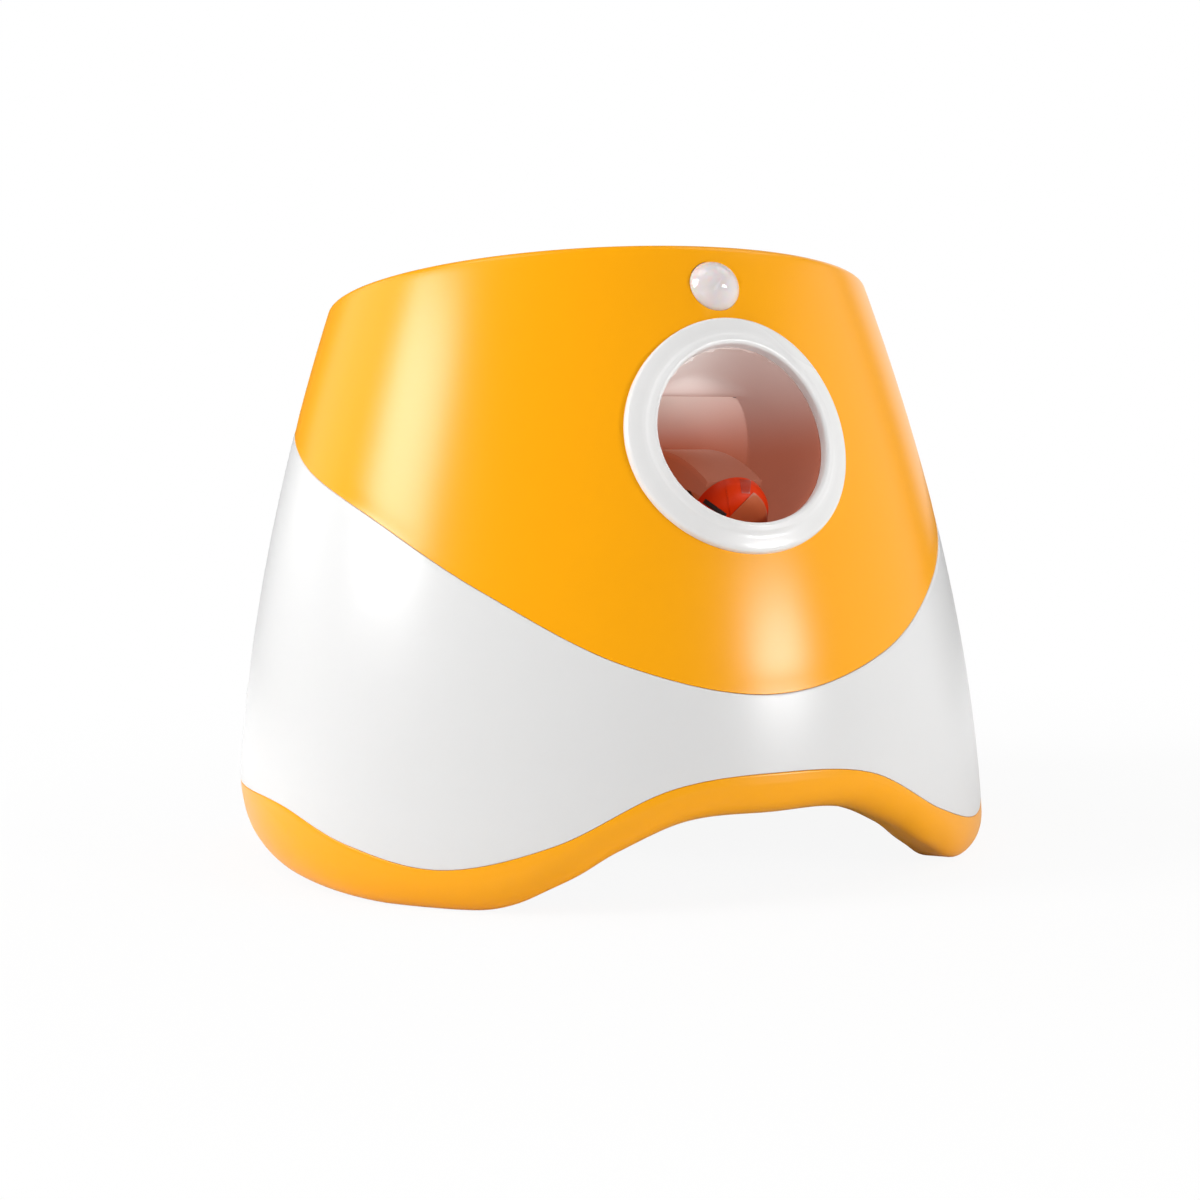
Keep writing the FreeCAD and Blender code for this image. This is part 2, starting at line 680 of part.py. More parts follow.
def idler_gear():
    """The pinion that turns the large wheel, and the wheel that the motor turns."""
    half_pitch = 180.0 / pinion_teeth
    x1 = fast_x + wheel_face
    pinion = spur_gear(wheel_module, pinion_teeth, idler_angle + 180 + half_pitch,
                       wheel_x - 0.5, fast_x, idler_y, idler_z)
    wheel = spur_gear(fast_module, fast_teeth, motor_angle, fast_x, x1, idler_y, idler_z)
    collar = x_rod(4.0, drive_x, wheel_x - 0.5, idler_y, idler_z)
    solid = pinion.fuse(wheel).fuse(collar)
    for i in range(5):
        a = math.radians(72 * i)
        y, z = idler_y + 13 * math.cos(a), idler_z + 13 * math.sin(a)
        solid = solid.cut(x_rod(3.0, fast_x - 1, x1 + 1, y, z))
    return solid.cut(x_rod(axle_radius + press_gap, drive_x - 5, gearbox_outer, idler_y, idler_z))


def motor_pinion():
    half_pitch = 180.0 / motor_teeth
    gear = spur_gear(fast_module, motor_teeth, motor_angle + 180 + half_pitch,
                     fast_x - 0.5, fast_x + wheel_face + 1, motor_y, motor_z)
    return gear.cut(x_rod(motor_shaft_radius, fast_x - 5, gearbox_outer, motor_y, motor_z))


# ---- striker ----
def striker_shaft():
    return x_rod(shaft_radius, -right_outer - 3, drive_x + drive_face + 2, pivot_y, pivot_z)


def striker_arm():
    stem = x_prism([(-6.5, 0), (6.5, 0), (4.5, arm_length - 6), (-3.5, arm_length - 6)],
                   -arm_thick / 2, arm_thick / 2)
    hub = x_rod(hub_radius, -hub_half, hub_half, 0, 0)
    disc = cylinder(paddle_radius, paddle_thick, V(0, 3.5, arm_length), V(0, -1, 0))
    arm = stem.fuse(hub).fuse(disc)
    lighten = x_prism([(-3.2, 14), (3.2, 14), (1.8, arm_length - 18), (-1.2, arm_length - 18)], 2, 20)
    mirrored = x_prism([(-3.2, 14), (3.2, 14), (1.8, arm_length - 18), (-1.2, arm_length - 18)], -20, -2)
    arm = arm.cut(lighten).cut(mirrored)
    for i in range(6):
        a = math.radians(60 * i + 30)
        centre = V(7.2 * math.sin(a), 3.5 - paddle_thick - 1, arm_length + 7.2 * math.cos(a))
        arm = arm.cut(cylinder(2.4, 3.0, centre, V(0, 1, 0)))
    seat = cylinder(3.5, 3.0, V(0, 3.5 - paddle_thick - 1, arm_length), V(0, 1, 0))
    arm = arm.cut(seat).cut(x_rod(shaft_radius + press_gap, -30, 30, 0, 0))
    return turned_about_pivot(arm, arm_lean)


def striker_pad():
    """A rubber button in the middle of the paddle's face."""
    pad = cylinder(3.5, 3.0, V(0, 3.5 - paddle_thick - 1.0, arm_length), V(0, 1, 0))
    return turned_about_pivot(pad, arm_lean)


def ball_gate():
    """The curved plate behind the paddle that holds the next ball up while the arm is forward."""
    start = V(0, 3.5, arm_length)
    lead = math.degrees(math.atan2(start.y, gate_radius)) + 0.2
    shell = x_ring(gate_radius + gate_wall / 2, gate_radius - gate_wall / 2, -gate_half, gate_half, 0, 0)
    rib = x_ring(gate_radius, gate_radius - 11, -1.5, 1.5, 0, 0)
    rib = rib.common(wedge(120, 90 - lead - gate_span + 6, 90, -20, 20, 0, 0))
    gate = shell.common(wedge(120, 90 - lead - gate_span, 90, -20, 20, 0, 0)).fuse(rib)
    gate = gate.cut(block(-20, 20, -80, 3.5, 0, 120))
    return turned_about_pivot(gate, arm_lean)


def torsion_spring():
    """The coil on the left of the hub; turned half round the pivot's vertical it is the right one."""
    pitch = 2 * spring_wire + 0.12
    length = spring_turns * pitch
    helix = Part.makeHelix(pitch, length, spring_radius)
    start = V(spring_radius, 0, 0)
    circle = Part.Wire(Part.makeCircle(spring_wire, start, V(0, 1, pitch / (2 * math.pi * spring_radius))))
    coil = Part.Wire(helix).makePipeShell([circle], True, True)
    coil.rotate(V(0, 0, 0), V(0, 1, 0), 90)
    coil.translate(V(-(hub_half + plate_inner) / 2 - length / 2, pivot_y, pivot_z))
    return coil


def stop_block(ahead, deep, tall, half):
    """A block in front of the resting arm, ahead of its face by ahead."""
    solid = block(-half, half, -ahead - deep, -ahead, buffer_place - tall / 2, buffer_place + tall / 2)
    return turned_about_pivot(solid, arm_lean)


def arm_front(height):
    """Half depth of the stem's front side at a height above the pivot."""
    return 6.5 + (3.5 - 6.5) * height / (arm_length - 6)


def stop_buffer():
    return stop_block(arm_front(buffer_place - 6) + 0.3, buffer_thick, 12, 6)


def stop_bar():
    return stop_block(arm_front(buffer_place - 6) + 0.3 + buffer_thick, 5, 14, plate_inner)


# ---- motor ----
def motor_can():
    can = x_rod(motor_radius, motor_x, motor_x + motor_length, motor_y, motor_z)
    can = can.cut(x_rod(motor_radius - 1.2, motor_x + 1.5, motor_x + motor_length + 1, motor_y, motor_z))
    nose = x_rod(3.1, motor_x - 2.0, motor_x + 1.5, motor_y, motor_z)
    bore_cut = x_rod(motor_shaft_radius + fit_gap, motor_x - 5, motor_x + motor_length, motor_y, motor_z)
    return can.fuse(nose).cut(bore_cut)


def motor_magnets():
    x0, x1 = motor_x + 5, motor_x + 25
    ring = x_ring(motor_radius - 1.2 - fit_gap, motor_radius - 3.8, x0, x1, motor_y, motor_z)
    gap = block(x0 - 1, x1 + 1, motor_y - 3, motor_y + 3, motor_z - 20, motor_z + 20)
    return ring.cut(gap)


def motor_rotor():
    rotor = x_rod(motor_radius - 4.4, motor_x + 6, motor_x + 24, motor_y, motor_z)
    for i in range(5):
        a = math.radians(72 * i)
        reach = motor_radius - 4.4
        y, z = motor_y + reach * math.cos(a), motor_z + reach * math.sin(a)
        rotor = rotor.cut(x_rod(1.6, motor_x, motor_x + 40, y, z))
    return rotor.cut(x_rod(motor_shaft_radius, motor_x, motor_x + 40, motor_y, motor_z))


def motor_shaft():
    return x_rod(motor_shaft_radius, fast_x - 0.5, motor_x + motor_length + 1, motor_y, motor_z)


def motor_endcap():
    x0 = motor_x + motor_length
    cap = x_ring(motor_radius, motor_shaft_radius + fit_gap, x0, x0 + 3, motor_y, motor_z)
    plug = x_ring(motor_radius - 1.3, motor_radius - 3.5, x0 - 4, x0, motor_y, motor_z)
    cap = cap.fuse(plug)
    for side in (-1, 1):
        y = motor_y + side * 8
        cap = cap.fuse(block(x0 + 3, x0 + 7, y - 1.5, y + 1.5, motor_z - 0.4, motor_z + 0.4))
    return cap


# ---- electrics ----
def battery_cells():
    group = []
    for side in (-1, 1):
        x = battery_x + side * (cell_radius + 0.1)
        y0 = battery_y - cell_length / 2
        cell = cylinder(cell_radius, cell_length, V(x, y0, cell_z), V(0, 1, 0))
        group.append(cell.fuse(cylinder(3, 1.5, V(x, y0 + cell_length, cell_z), V(0, 1, 0))))
    return Part.makeCompound(group)


cell_z = pan_top + 2.0 + cell_radius


def battery_cradle():
    """A tray over the door opening, with a saddle under each cell and an end wall at both ends."""
    half_x = door_width / 2 + 3
    half_y = door_length / 2 + 3
    tray = block(battery_x - half_x, battery_x + half_x, battery_y - half_y, battery_y + half_y,
                 pan_top, pan_top + 2 * cell_radius)
    inner = block(battery_x - half_x + 2, battery_x + half_x - 2, battery_y - half_y + 2,
                  battery_y + half_y - 2, pan_top + 2.0, pan_top + 50)
    return tray.cut(inner)


def battery_door():
    plate = slot_prism(door_width, door_length, pan_bottom, pan_top - 0.1, 4)
    plate.translate(V(battery_x, battery_y, 0))
    screw = cylinder(screw_radius + fit_gap, 20, V(battery_x, battery_y - door_length / 2 + 5, 0))
    return plate.cut(screw)


def door_screw():
    y = battery_y - door_length / 2 + 5
    shank = cylinder(screw_radius, pan_thick - 0.2, V(battery_x, y, pan_bottom))
    return shank.fuse(cylinder(screw_radius * 1.9, 1.4, V(battery_x, y, pan_bottom - 1.4)))


def battery_strap():
    half_x = 2 * cell_radius + 0.6
    z1 = cell_z + cell_radius
    strap = block(battery_x - half_x - 1, battery_x + half_x + 1, battery_y - 6, battery_y + 6,
                  pan_top + 2.0, z1 + 1.0)
    inner = block(battery_x - half_x, battery_x + half_x, battery_y - 7, battery_y + 7, pan_top, z1)
    return strap.cut(inner)


def main_board():
    board = block(board_x0, board_x1, board_y0, board_y1 - 8, board_z, board_z + 1.6)
    chip = block(-12, 2, 66, 78, board_z + 1.6, board_z + 3.2)
    connectors = [block(x, x + 9, 54, 60, board_z + 1.6, board_z + 8) for x in (-24, -12, 4, 16)]
    for piece in [chip] + connectors:
        board = board.fuse(piece)
    return board


def buzzer():
    return cylinder(6, 7, V(22, 76, board_z + 1.6)).cut(cylinder(1.5, 3, V(22, 76, board_z + 7)))


def board_screws():
    group = []
    for x, y in board_posts:
        group.append(cylinder(2.6, 1.8, V(x, y, board_z + 1.6)))
    return Part.makeCompound(group)


def beam_unit(side):
    """One half of the light gate that sees a ball in the drop neck."""
    x0 = side * (tube_outer + 0.1)
    housing = Part.makeBox(7, 9, 10, V(-3.5, -4.5, -5))
    housing.translate(V(x0 + side * 3.5, neck_y, beam_height - 3.0 + 2))
    window = cylinder(2.3, 3.4, V(x0 + side * 0.05, neck_y, beam_height), V(-side, 0, 0))
    return housing.fuse(window)


# ---- rear panel ----
def control_panel():
    tray = slot_prism(panel_width - 2 * skin_gap, panel_tall - 2 * skin_gap, -panel_depth, 4, 6 - skin_gap)
    well = slot_prism(panel_width - 4, panel_tall - 4, -panel_depth + 2.0, 10, 4.5)
    tray = tray.cut(well)
    for x in (-button_place, button_place):
        tray = tray.cut(cylinder(button_radius + skin_gap, 10, V(x, 0, -panel_depth - 3)))
    for x in light_places:
        tray = tray.cut(cylinder(light_radius, 10, V(x, light_row, -panel_depth - 3)))
    placed = on_surface(tray, 180, panel_height)
    return placed.common(casing_core(-0.3, 60, 140))


light_places = (-6.0, 0.0, 6.0)
light_row = 8.0
light_radius = 1.6
panel_face = -panel_depth + 2.0


def press_button(x):
    cap = cylinder(button_radius, 5.0, V(x, 0, panel_face - 2.0 - 0.4))
    flange = cylinder(button_radius + 1.5, 1.2, V(x, 0, panel_face - 2.0 - 1.5))
    stem = cylinder(1.6, 2.5, V(x, 0, panel_face - 2.0 - 3.0))
    return on_surface(cap.fuse(flange).fuse(stem), 180, panel_height)


def panel_board():
    z1 = panel_face - 2.0 - 3.2 - button_travel - 1.8
    board = slot_prism(panel_width - 8, panel_tall - 8, z1 - 1.6, z1, 2)
    for x in (-button_place, button_place):
        board = board.fuse(Part.makeBox(6, 6, 1.7, V(x - 3, -3, z1)))
    for x in (-panel_width / 2 + 7, panel_width / 2 - 7):
        post = cylinder(2.2, panel_face - 2.0 - z1, V(x, 9, z1))
        board = board.fuse(post)
    return on_surface(board, 180, panel_height)


def status_lights():
    z1 = panel_face - 2.0 - 3.2 - button_travel - 1.8
    group = [cylinder(light_radius, panel_face + 0.5 - z1, V(x, light_row, z1)) for x in light_places]
    return on_surface(Part.makeCompound(group), 180, panel_height)


def power_jack():
    shell = cylinder(5.5, 12, V(0, 0, -13.0)).fuse(cylinder(7.5, 1.5, V(0, 0, -wall - 2.4)))
    jack = shell.cut(cylinder(3.6, 9, V(0, 0, -9))).fuse(cylinder(1.0, 9, V(0, 0, -10)))
    return on_surface(jack, 180, jack_height)


# ---- wiring held inside the casing ----
def lead(points, radius):
    """A round lead along straight runs joined by arcs."""
    edges = []
    last = points[0]
    for before, corner, after in zip(points, points[1:], points[2:]):
        into, out = (corner - before), (after - corner)
        turn = into.getAngle(out)
        back_off = 0.45 * min(into.Length, out.Length)
        first, final = corner - into.normalize() * back_off, corner + out.normalize() * back_off
        bend = back_off / math.tan(turn / 2)
        centre_way = (out - into).normalize()
        middle = corner + centre_way * (bend / math.cos(turn / 2) - bend)
        edges.append(Part.makeLine(last, first))
        edges.append(Part.Arc(first, middle, final).toShape())
        last = final
    edges.append(Part.makeLine(last, points[-1]))
    path = Part.Wire(edges)
    start = (points[1] - points[0]).normalize()
    profile = Part.Wire(Part.makeCircle(radius, points[0], start))
    return path.makePipeShell([profile], True, False)


lead_radius = 0.8
lead_height = board_z + 5.2
board_socket = 25.0


def motor_leads():
    group = []
    for side, drop in ((-1, 0.0), (1, 2 * lead_radius + 0.2)):
        start = V(motor_x + motor_length + 5, motor_y + side * 8, motor_z - 1.6)
        low = motor_z - motor_radius - 5 + drop
        route = [start, V(start.x, start.y, low), V(62, 50, low), V(46, 57, lead_height + drop),
                 V(board_socket, 57, lead_height + drop)]
        group.append(lead(route, lead_radius))
    return Part.makeCompound(group)


def battery_leads():
    group = []
    for side in (-1, 1):
        start = V(battery_x + side * (cell_radius + 0.1), battery_y + cell_length / 2 + 2.6, cell_z)
        bend = V(start.x + 6, 49, cell_z + 16)
        end = V(-24, 57, lead_height + (side + 1) * (lead_radius + 0.1))
        group.append(lead([start, start + V(0, 0, 11), bend, end - V(12, 0, 0), end], lead_radius))
    return Part.makeCompound(group)


def export(name, shape):
    if shape.ShapeType != "Compound" or len(shape.Solids) == 1:
        shape = shape.Solids[0] if len(shape.Solids) == 1 else shape
    print("%-22s solids %d valid %s volume %.1f" % (name, len(shape.Solids), shape.isValid(), shape.Volume))
    shape.exportStep("parts/%s.step" % name)


def build():
    os.makedirs("parts", exist_ok=True)
    export("upper_shell", upper_shell())
    export("waist_shell", waist_shell())
    export("base_skirt", base_skirt())
    export("port_bezel", port_bezel())
    export("hopper_rim", hopper_rim())
    export("hopper_bowl", hopper_bowl())
    export("launch_tube", launch_tube())
    export("sensor_lens", sensor_lens())
    export("sensor_can", sensor_can())
    export("sensor_board", sensor_board())
    export("base_pan", base_pan())
    export("case_screws", case_screws())
    export("foot_pads", Part.makeCompound([foot_pad(angle) for angle in foot_pad_angles]))
    export("left_plate", left_plate())
    export("right_plate", right_plate())
    export("gearbox_plate", gearbox_plate())
    export("gearbox_pillars", gearbox_pillars())
    export("pillar_screws", pillar_screws())
    export("shaft_bush_left", bush(shaft_radius, -right_outer, -1, pivot_y, pivot_z))
    export("shaft_bush_right", bush(shaft_radius, right_inner, 1, pivot_y, pivot_z))
    export("gear_bushes", gear_bushes())
    export("drive_axle", x_rod(axle_radius, right_inner - 1, gearbox_outer + 1, drive_y, drive_z))
    export("idler_axle", x_rod(axle_radius, right_inner - 1, gearbox_outer + 1, idler_y, idler_z))
    export("sector_gear", sector_gear())
    export("drive_gear", drive_gear())
    export("idler_gear", idler_gear())
    export("motor_pinion", motor_pinion())
    export("striker_shaft", striker_shaft())
    export("striker_arm", striker_arm())
    export("striker_pad", striker_pad())
    export("ball_gate", ball_gate())
    spring = torsion_spring()
    export("striker_spring_left", spring)
    spring.rotate(V(0, pivot_y, pivot_z), V(0, 0, 1), 180)
    export("striker_spring_right", spring)
    export("stop_buffer", stop_buffer())
    export("stop_bar", stop_bar())
    export("motor_can", motor_can())
    export("motor_magnets", motor_magnets())
    export("motor_rotor", motor_rotor())
    export("motor_shaft", motor_shaft())
    export("motor_endcap", motor_endcap())
    export("battery_cells", battery_cells())
    export("battery_cradle", battery_cradle())
    export("battery_strap", battery_strap())
    export("battery_door", battery_door())
    export("door_screw", door_screw())
    export("main_board", main_board())
    export("board_screws", board_screws())
    export("buzzer", buzzer())
    export("beam_sender", beam_unit(-1))
    export("beam_receiver", beam_unit(1))
    export("control_panel", control_panel())
    export("power_button", press_button(-button_place))
    export("distance_button", press_button(button_place))
    export("panel_board", panel_board())
    export("status_lights", status_lights())
    export("power_jack", power_jack())
    export("motor_leads", motor_leads())
    export("battery_leads", battery_leads())


build()
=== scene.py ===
import json
import math

import bmesh
import bpy
from mathutils import Matrix, Vector


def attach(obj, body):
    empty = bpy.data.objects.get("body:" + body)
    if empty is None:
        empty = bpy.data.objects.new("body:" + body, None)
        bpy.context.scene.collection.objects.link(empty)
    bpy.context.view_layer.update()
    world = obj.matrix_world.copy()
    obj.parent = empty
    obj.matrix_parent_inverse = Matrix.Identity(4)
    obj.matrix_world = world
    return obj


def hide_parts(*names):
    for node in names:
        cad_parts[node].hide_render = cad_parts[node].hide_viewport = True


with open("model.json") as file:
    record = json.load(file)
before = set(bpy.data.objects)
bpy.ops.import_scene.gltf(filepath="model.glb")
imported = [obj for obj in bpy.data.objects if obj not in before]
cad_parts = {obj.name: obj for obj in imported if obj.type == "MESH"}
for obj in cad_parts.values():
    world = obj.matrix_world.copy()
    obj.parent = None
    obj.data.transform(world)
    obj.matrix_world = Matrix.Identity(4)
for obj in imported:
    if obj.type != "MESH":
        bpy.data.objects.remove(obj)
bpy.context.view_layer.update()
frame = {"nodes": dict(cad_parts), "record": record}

# Lengths are in millimetres while a piece is made; settle() turns them to metres.
# +Z is up and -Y is the throwing side.  Angles round the body count from the front towards +X.

# ---- the casing ----
body_radius = 127.5            # at the floor
rim_radius = 93.0              # at rim_height
rim_height = 180.0
bulge = 1.75                   # power of the taper between them
wall = 2.6
crease = math.radians(32.0)    # sharper edges stay sharp in the shading
shell_columns = 360
rim_mid = 184.3                # height of the rim on the axis
rim_rise = 6.3                 # more at the front, less at the back
foot_inner = 115.2             # of the rubber strips and of the skirt's flat underside
foot_lift = 0.3
seam = 0.08                    # open line between two shells
pan_bottom = 14.0              # of the base pan, which rises towards the front past ramp_back
ramp_back = -54.4
ramp_slope = 0.1927
roll_reach, roll_rise = 9.0, 9.5  # of the rounded bottom edge at the arch, inwards and upwards
foot_less = 4.0                # reach that it loses past the arch
side_reach, side_rise = 5.0, 14.5  # more at the sides
upper_border = [(0, 59.4), (20, 68.7), (40, 89.9), (60, 111.4), (80, 126.8), (100, 140.6),
                (120, 147.0), (150, 148.5), (180, 149.0)]
lower_border = [(0, 37.5), (15, 34.4), (30, 19.6), (45, 12.2), (60, 16.8), (75, 25.0), (90, 26.4),
                (110, 24.5), (125, 17.0), (140, 12.8), (155, 18.5), (168, 24.5), (180, 26.0)]
skirt_foot = [(0, 24.8), (12, 24.0), (22, 16.3), (27, 10.4), (31, 6.4), (35, 2.6), (39, 0.5), (44, 0.0),
              (55, 0.0), (75, 2.2), (95, 4.2), (115, 3.0), (140, 0.0), (180, 0.0)]

# ---- the ball path ----
bore = 27.0
tube_wall = 2.4
launch_tilt = math.radians(18.0)
port_height = 133.7
sleeve_depth = 0.8             # of the port ring inside the launch tube
neck_y = -50.0
neck_top = 157.0
bowl_radius = 78.0
bowl_floor_rim = 169.0
bowl_wall = 2.2
bezel_radius = 35.6
port_hole = (32.0, 31.0, 31.0)  # half width, half height and corner radius
bar_low = Vector((-27.5, neck_y - bore - 2.0, 146.6))  # of the bar across the front of the neck
bar_high = Vector((27.5, neck_y - bore + 1.6, 155.5))
slot_low = Vector((-14.0, -106.0, 20.0))  # of the striker's slot under the tube
slot_high = Vector((14.0, 60.0, 104.0))

# ---- painted light and shade inside the ball path ----
view_right = Vector((0.922, -0.387))   # to the right as the main view sees it; the walls get painted shade on that side
glow_low, glow_high = 0.127, 0.157     # metres, over which the painted colour turns from bounce light to white
painted_bounce_light = (0.31, 0.055, 0.01, 1.0)  # painted bounce light, as if off the orange bowl after several reflections
# white plastic in painted shade, the colour of the walls at the top, where light comes in
shaded_white = (0.48, 0.44, 0.42, 1.0)
shade_side_white_low, shade_side_white_high = 0.13, 0.68       # share of white on the side with painted shade, low and high
# how dark the side with painted shade is
shade_side_level = 0.88

# ---- the striker ----
pivot = Vector((0, -59.0, 50.0))
arm_length = 71.6
arm_lean = math.radians(33.0)
paddle_radius = 11.6
paddle_thick = 8.0
paddle_back = 3.5              # of its back behind the arm's middle
head_round = 5.5               # of the head's front edge
sight_right = Vector((0.889, -0.459, 0))  # to the right as the port shows the head
sight_near = Vector((-0.459, -0.889, 0))  # from the head towards the eye
head_middle = 2.9              # height of its visible face above the face's own middle
wedge_first, wedge_last = -80.0, 44.0  # degrees
wedge_tip, wedge_centre, wedge_radius = Vector((-3.8, -1.8)), Vector((0.0, -0.9)), 8.5

# ---- the rear panel ----
panel_height = 100.0
panel_width = 62.0
panel_tall = 32.0
panel_corner = 6.0
panel_floor = -5.0             # below the casing's surface
panel_under = -7.0
button_radius = 6.0
button_top = -2.4
button_place = 17.0
light_places = (-6.0, 0.0, 6.0)
light_row = 8.0
symbol_depth = (-0.4, -0.02)   # of the keys' symbols, from the top of a key
jack_height = 56.0
jack_hole = (5.7, 5.6, 5.6)

# ---- the feet ----
foot_angles = (54, 140, 220, 306)
foot_half = 8.0                # half the angle that a pad spans
foot_width = 3.6
foot_thick = 2.0

# ---- the motion sensor ----
sensor_height = 178.0
sensor_turn = -1.3             # degrees towards -X
sensor_hole = (7.87, 7.47, 7.47)
sensor_dome_top, sensor_dome_radius = 5.6, 8.2


def casing_radius(z):
    return body_radius - (body_radius - rim_radius) * (max(z, 0.0) / rim_height) ** bulge


def casing_slope(z):
    """Upward tilt of the casing's outward normal."""
    return math.atan((casing_radius(z - 1) - casing_radius(z + 1)) / 2)


def smooth(t):
    t = min(max(t, 0.0), 1.0)
    return t * t * (3 - 2 * t)


def from_front(angle):
    return abs((angle + 180) % 360 - 180)


def border(table, angle):
    """Height of a border at an angle, on a smooth curve through the table."""
    a = from_front(angle)
    rows = [(-table[1][0], table[1][1])] + table + [(360 - table[-2][0], table[-2][1])]
    for i in range(1, len(rows) - 2):
        if a <= rows[i + 1][0]:
            break
    (a0, z0), (a1, z1), (a2, z2), (a3, z3) = rows[i - 1:i + 3]
    t = (a - a1) / (a2 - a1)
    m1 = (z2 - z0) / (a2 - a0) * (a2 - a1)
    m2 = (z3 - z1) / (a3 - a1) * (a2 - a1)
    return ((2 * t ** 3 - 3 * t ** 2 + 1) * z1 + (t ** 3 - 2 * t ** 2 + t) * m1
            + (3 * t ** 2 - 2 * t ** 3) * z2 + (t ** 3 - t ** 2) * m2)


def skirt_bottom(angle):
    return max(border(skirt_foot, angle), 0.0) + foot_lift


def edge_roll(angle):
    """How far in and how far up the rounded bottom edge reaches; it is widest at the sides."""
    away = from_front(angle)
    past_arch = smooth((away - 12) / 18)
    side = smooth((away - 55) / 40) * (1 - smooth((away - 112) / 22))
    return roll_reach - foot_less * past_arch + side_reach * side, roll_rise + side_rise * side


def surface_radius(z, angle):
    """The casing's radius, drawn in over the rounded bottom edge."""
    reach, rise = edge_roll(angle)
    start = skirt_bottom(angle) + rise
    drop = min(max((start - z) / rise, 0.0), 1.0)
    return casing_radius(max(z, start)) - reach * (1 - math.sqrt(1 - drop ** 2))


def polar(radius, angle, z):
    a = math.radians(angle)
    return Vector((radius * math.sin(a), -radius * math.cos(a), z))


def rim_plane(radius, angle):
    return rim_mid + rim_rise * radius / rim_radius * math.cos(math.radians(angle))


def arc(centre, radius, first, last, steps):
    """Points (r, z) of an arc between two directions in degrees."""
    turns = [math.radians(first + (last - first) * i / steps) for i in range(steps + 1)]
    return [(centre[0] + radius * math.cos(t), centre[1] + radius * math.sin(t)) for t in turns]


def stretch(first, last, steps):
    """Evenly spaced values without the two ends."""
    return [first + (last - first) * i / (steps + 1) for i in range(1, steps + 1)]


def last_inside(inside, low, high, rounds=30):
    """The value between low and high up to which inside(value) holds."""
    for _ in range(rounds):
        middle = (low + high) / 2
        if inside(middle):
            low = middle
        else:
            high = middle
    return low


# ---- making meshes ----
def add_object(name, data):
    made = bpy.data.objects.new(name, data)
    bpy.context.scene.collection.objects.link(made)
    return made


def to_data(name, mesh):
    """A finished mesh as the data of an object."""
    data = bpy.data.meshes.new(name)
    mesh.to_mesh(data)
    mesh.free()
    return data


def from_modifiers(piece, spare=()):
    """The mesh that an object's modifiers make; the object and the spare ones go."""
    bpy.context.view_layer.update()
    seen = piece.evaluated_get(bpy.context.evaluated_depsgraph_get())
    ready = bpy.data.meshes.new_from_object(seen)
    result = bmesh.new()
    result.from_mesh(ready)
    bpy.data.meshes.remove(ready)
    for old in [*spare, piece]:
        data = old.data
        bpy.data.objects.remove(old)
        bpy.data.meshes.remove(data)
    return result


def join(*meshes):
    """Several meshes as one."""
    whole = meshes[0]
    for other in meshes[1:]:
        part = to_data("part", other)
        whole.from_mesh(part)
        bpy.data.meshes.remove(part)
    return whole


def bevel(mesh, edges, offset, segments):
    bmesh.ops.bevel(mesh, geom=edges, offset=offset, offset_type="OFFSET", segments=segments, profile=0.5,
                    affect="EDGES", material=-1)


def close_up(mesh):
    """Fill the open ends of a mesh."""
    bmesh.ops.holes_fill(mesh, edges=[e for e in mesh.edges if e.is_boundary], sides=0)
    bmesh.ops.recalc_face_normals(mesh, faces=mesh.faces)


def bent_grid(columns, section, closed=True):
    """A flat grid rolled round the body: section(angle) gives its line of points at each angle."""
    lines = [section(360.0 * i / columns) for i in range(columns)]
    rows = len(lines[0]) if closed else len(lines[0]) - 1
    mesh = bmesh.new()
    bmesh.ops.create_grid(mesh, x_segments=columns, y_segments=rows, size=1)
    for vertex in mesh.verts:
        column = round((vertex.co.x + 1) / 2 * columns) % columns
        row = round((vertex.co.y + 1) / 2 * rows) % len(lines[0])
        vertex.co = lines[column][row]
    bmesh.ops.remove_doubles(mesh, verts=mesh.verts, dist=1e-4)
    bmesh.ops.recalc_face_normals(mesh, faces=mesh.faces)
    return mesh


def turned(profile, steps, place):
    """A profile of (radius, height) points spun about Z, then moved by place."""
    mesh = bmesh.new()
    line = [mesh.verts.new((r, 0, z)) for r, z in profile]
    edges = [mesh.edges.new(pair) for pair in zip(line, line[1:])]
    bmesh.ops.spin(mesh, geom=line + edges, cent=(0, 0, 0), axis=(0, 0, 1), angle=2 * math.pi,
                   steps=steps, use_merge=True)
    bmesh.ops.remove_doubles(mesh, verts=mesh.verts, dist=1e-4)
    bmesh.ops.recalc_face_normals(mesh, faces=mesh.faces)
    bmesh.ops.transform(mesh, matrix=place, verts=mesh.verts)
    return mesh


def rod(radius, low, high, place, segments=160):
    mesh = bmesh.new()
    bmesh.ops.create_cone(mesh, cap_ends=True, segments=segments, radius1=radius, radius2=radius,
                          depth=high - low, matrix=Matrix.Translation((0, 0, (low + high) / 2)))
    bmesh.ops.transform(mesh, matrix=place, verts=mesh.verts)
    return mesh


def box(low, high):
    mesh = bmesh.new()
    low, high = Vector(low), Vector(high)
    bmesh.ops.create_cube(mesh, size=1, matrix=Matrix.Translation((low + high) / 2)
                          @ Matrix.Diagonal((*(high - low), 1)))
    return mesh


def rounded_block(width, height, low, high, corner, edge, place):
    """A block about Z with rounded corners and softened edges."""
    mesh = box((-width / 2, -height / 2, low), (width / 2, height / 2, high))
    bevel(mesh, [e for e in mesh.edges if abs((e.verts[0].co - e.verts[1].co).normalized().z) > 0.9],
          corner, 8)
    bevel(mesh, [e for e in mesh.edges if abs(e.verts[0].co.z - e.verts[1].co.z) < 1e-4
                 and len({round(f.normal.z) for f in e.link_faces}) > 1], edge, 3)
    bmesh.ops.transform(mesh, matrix=place, verts=mesh.verts)
    return mesh


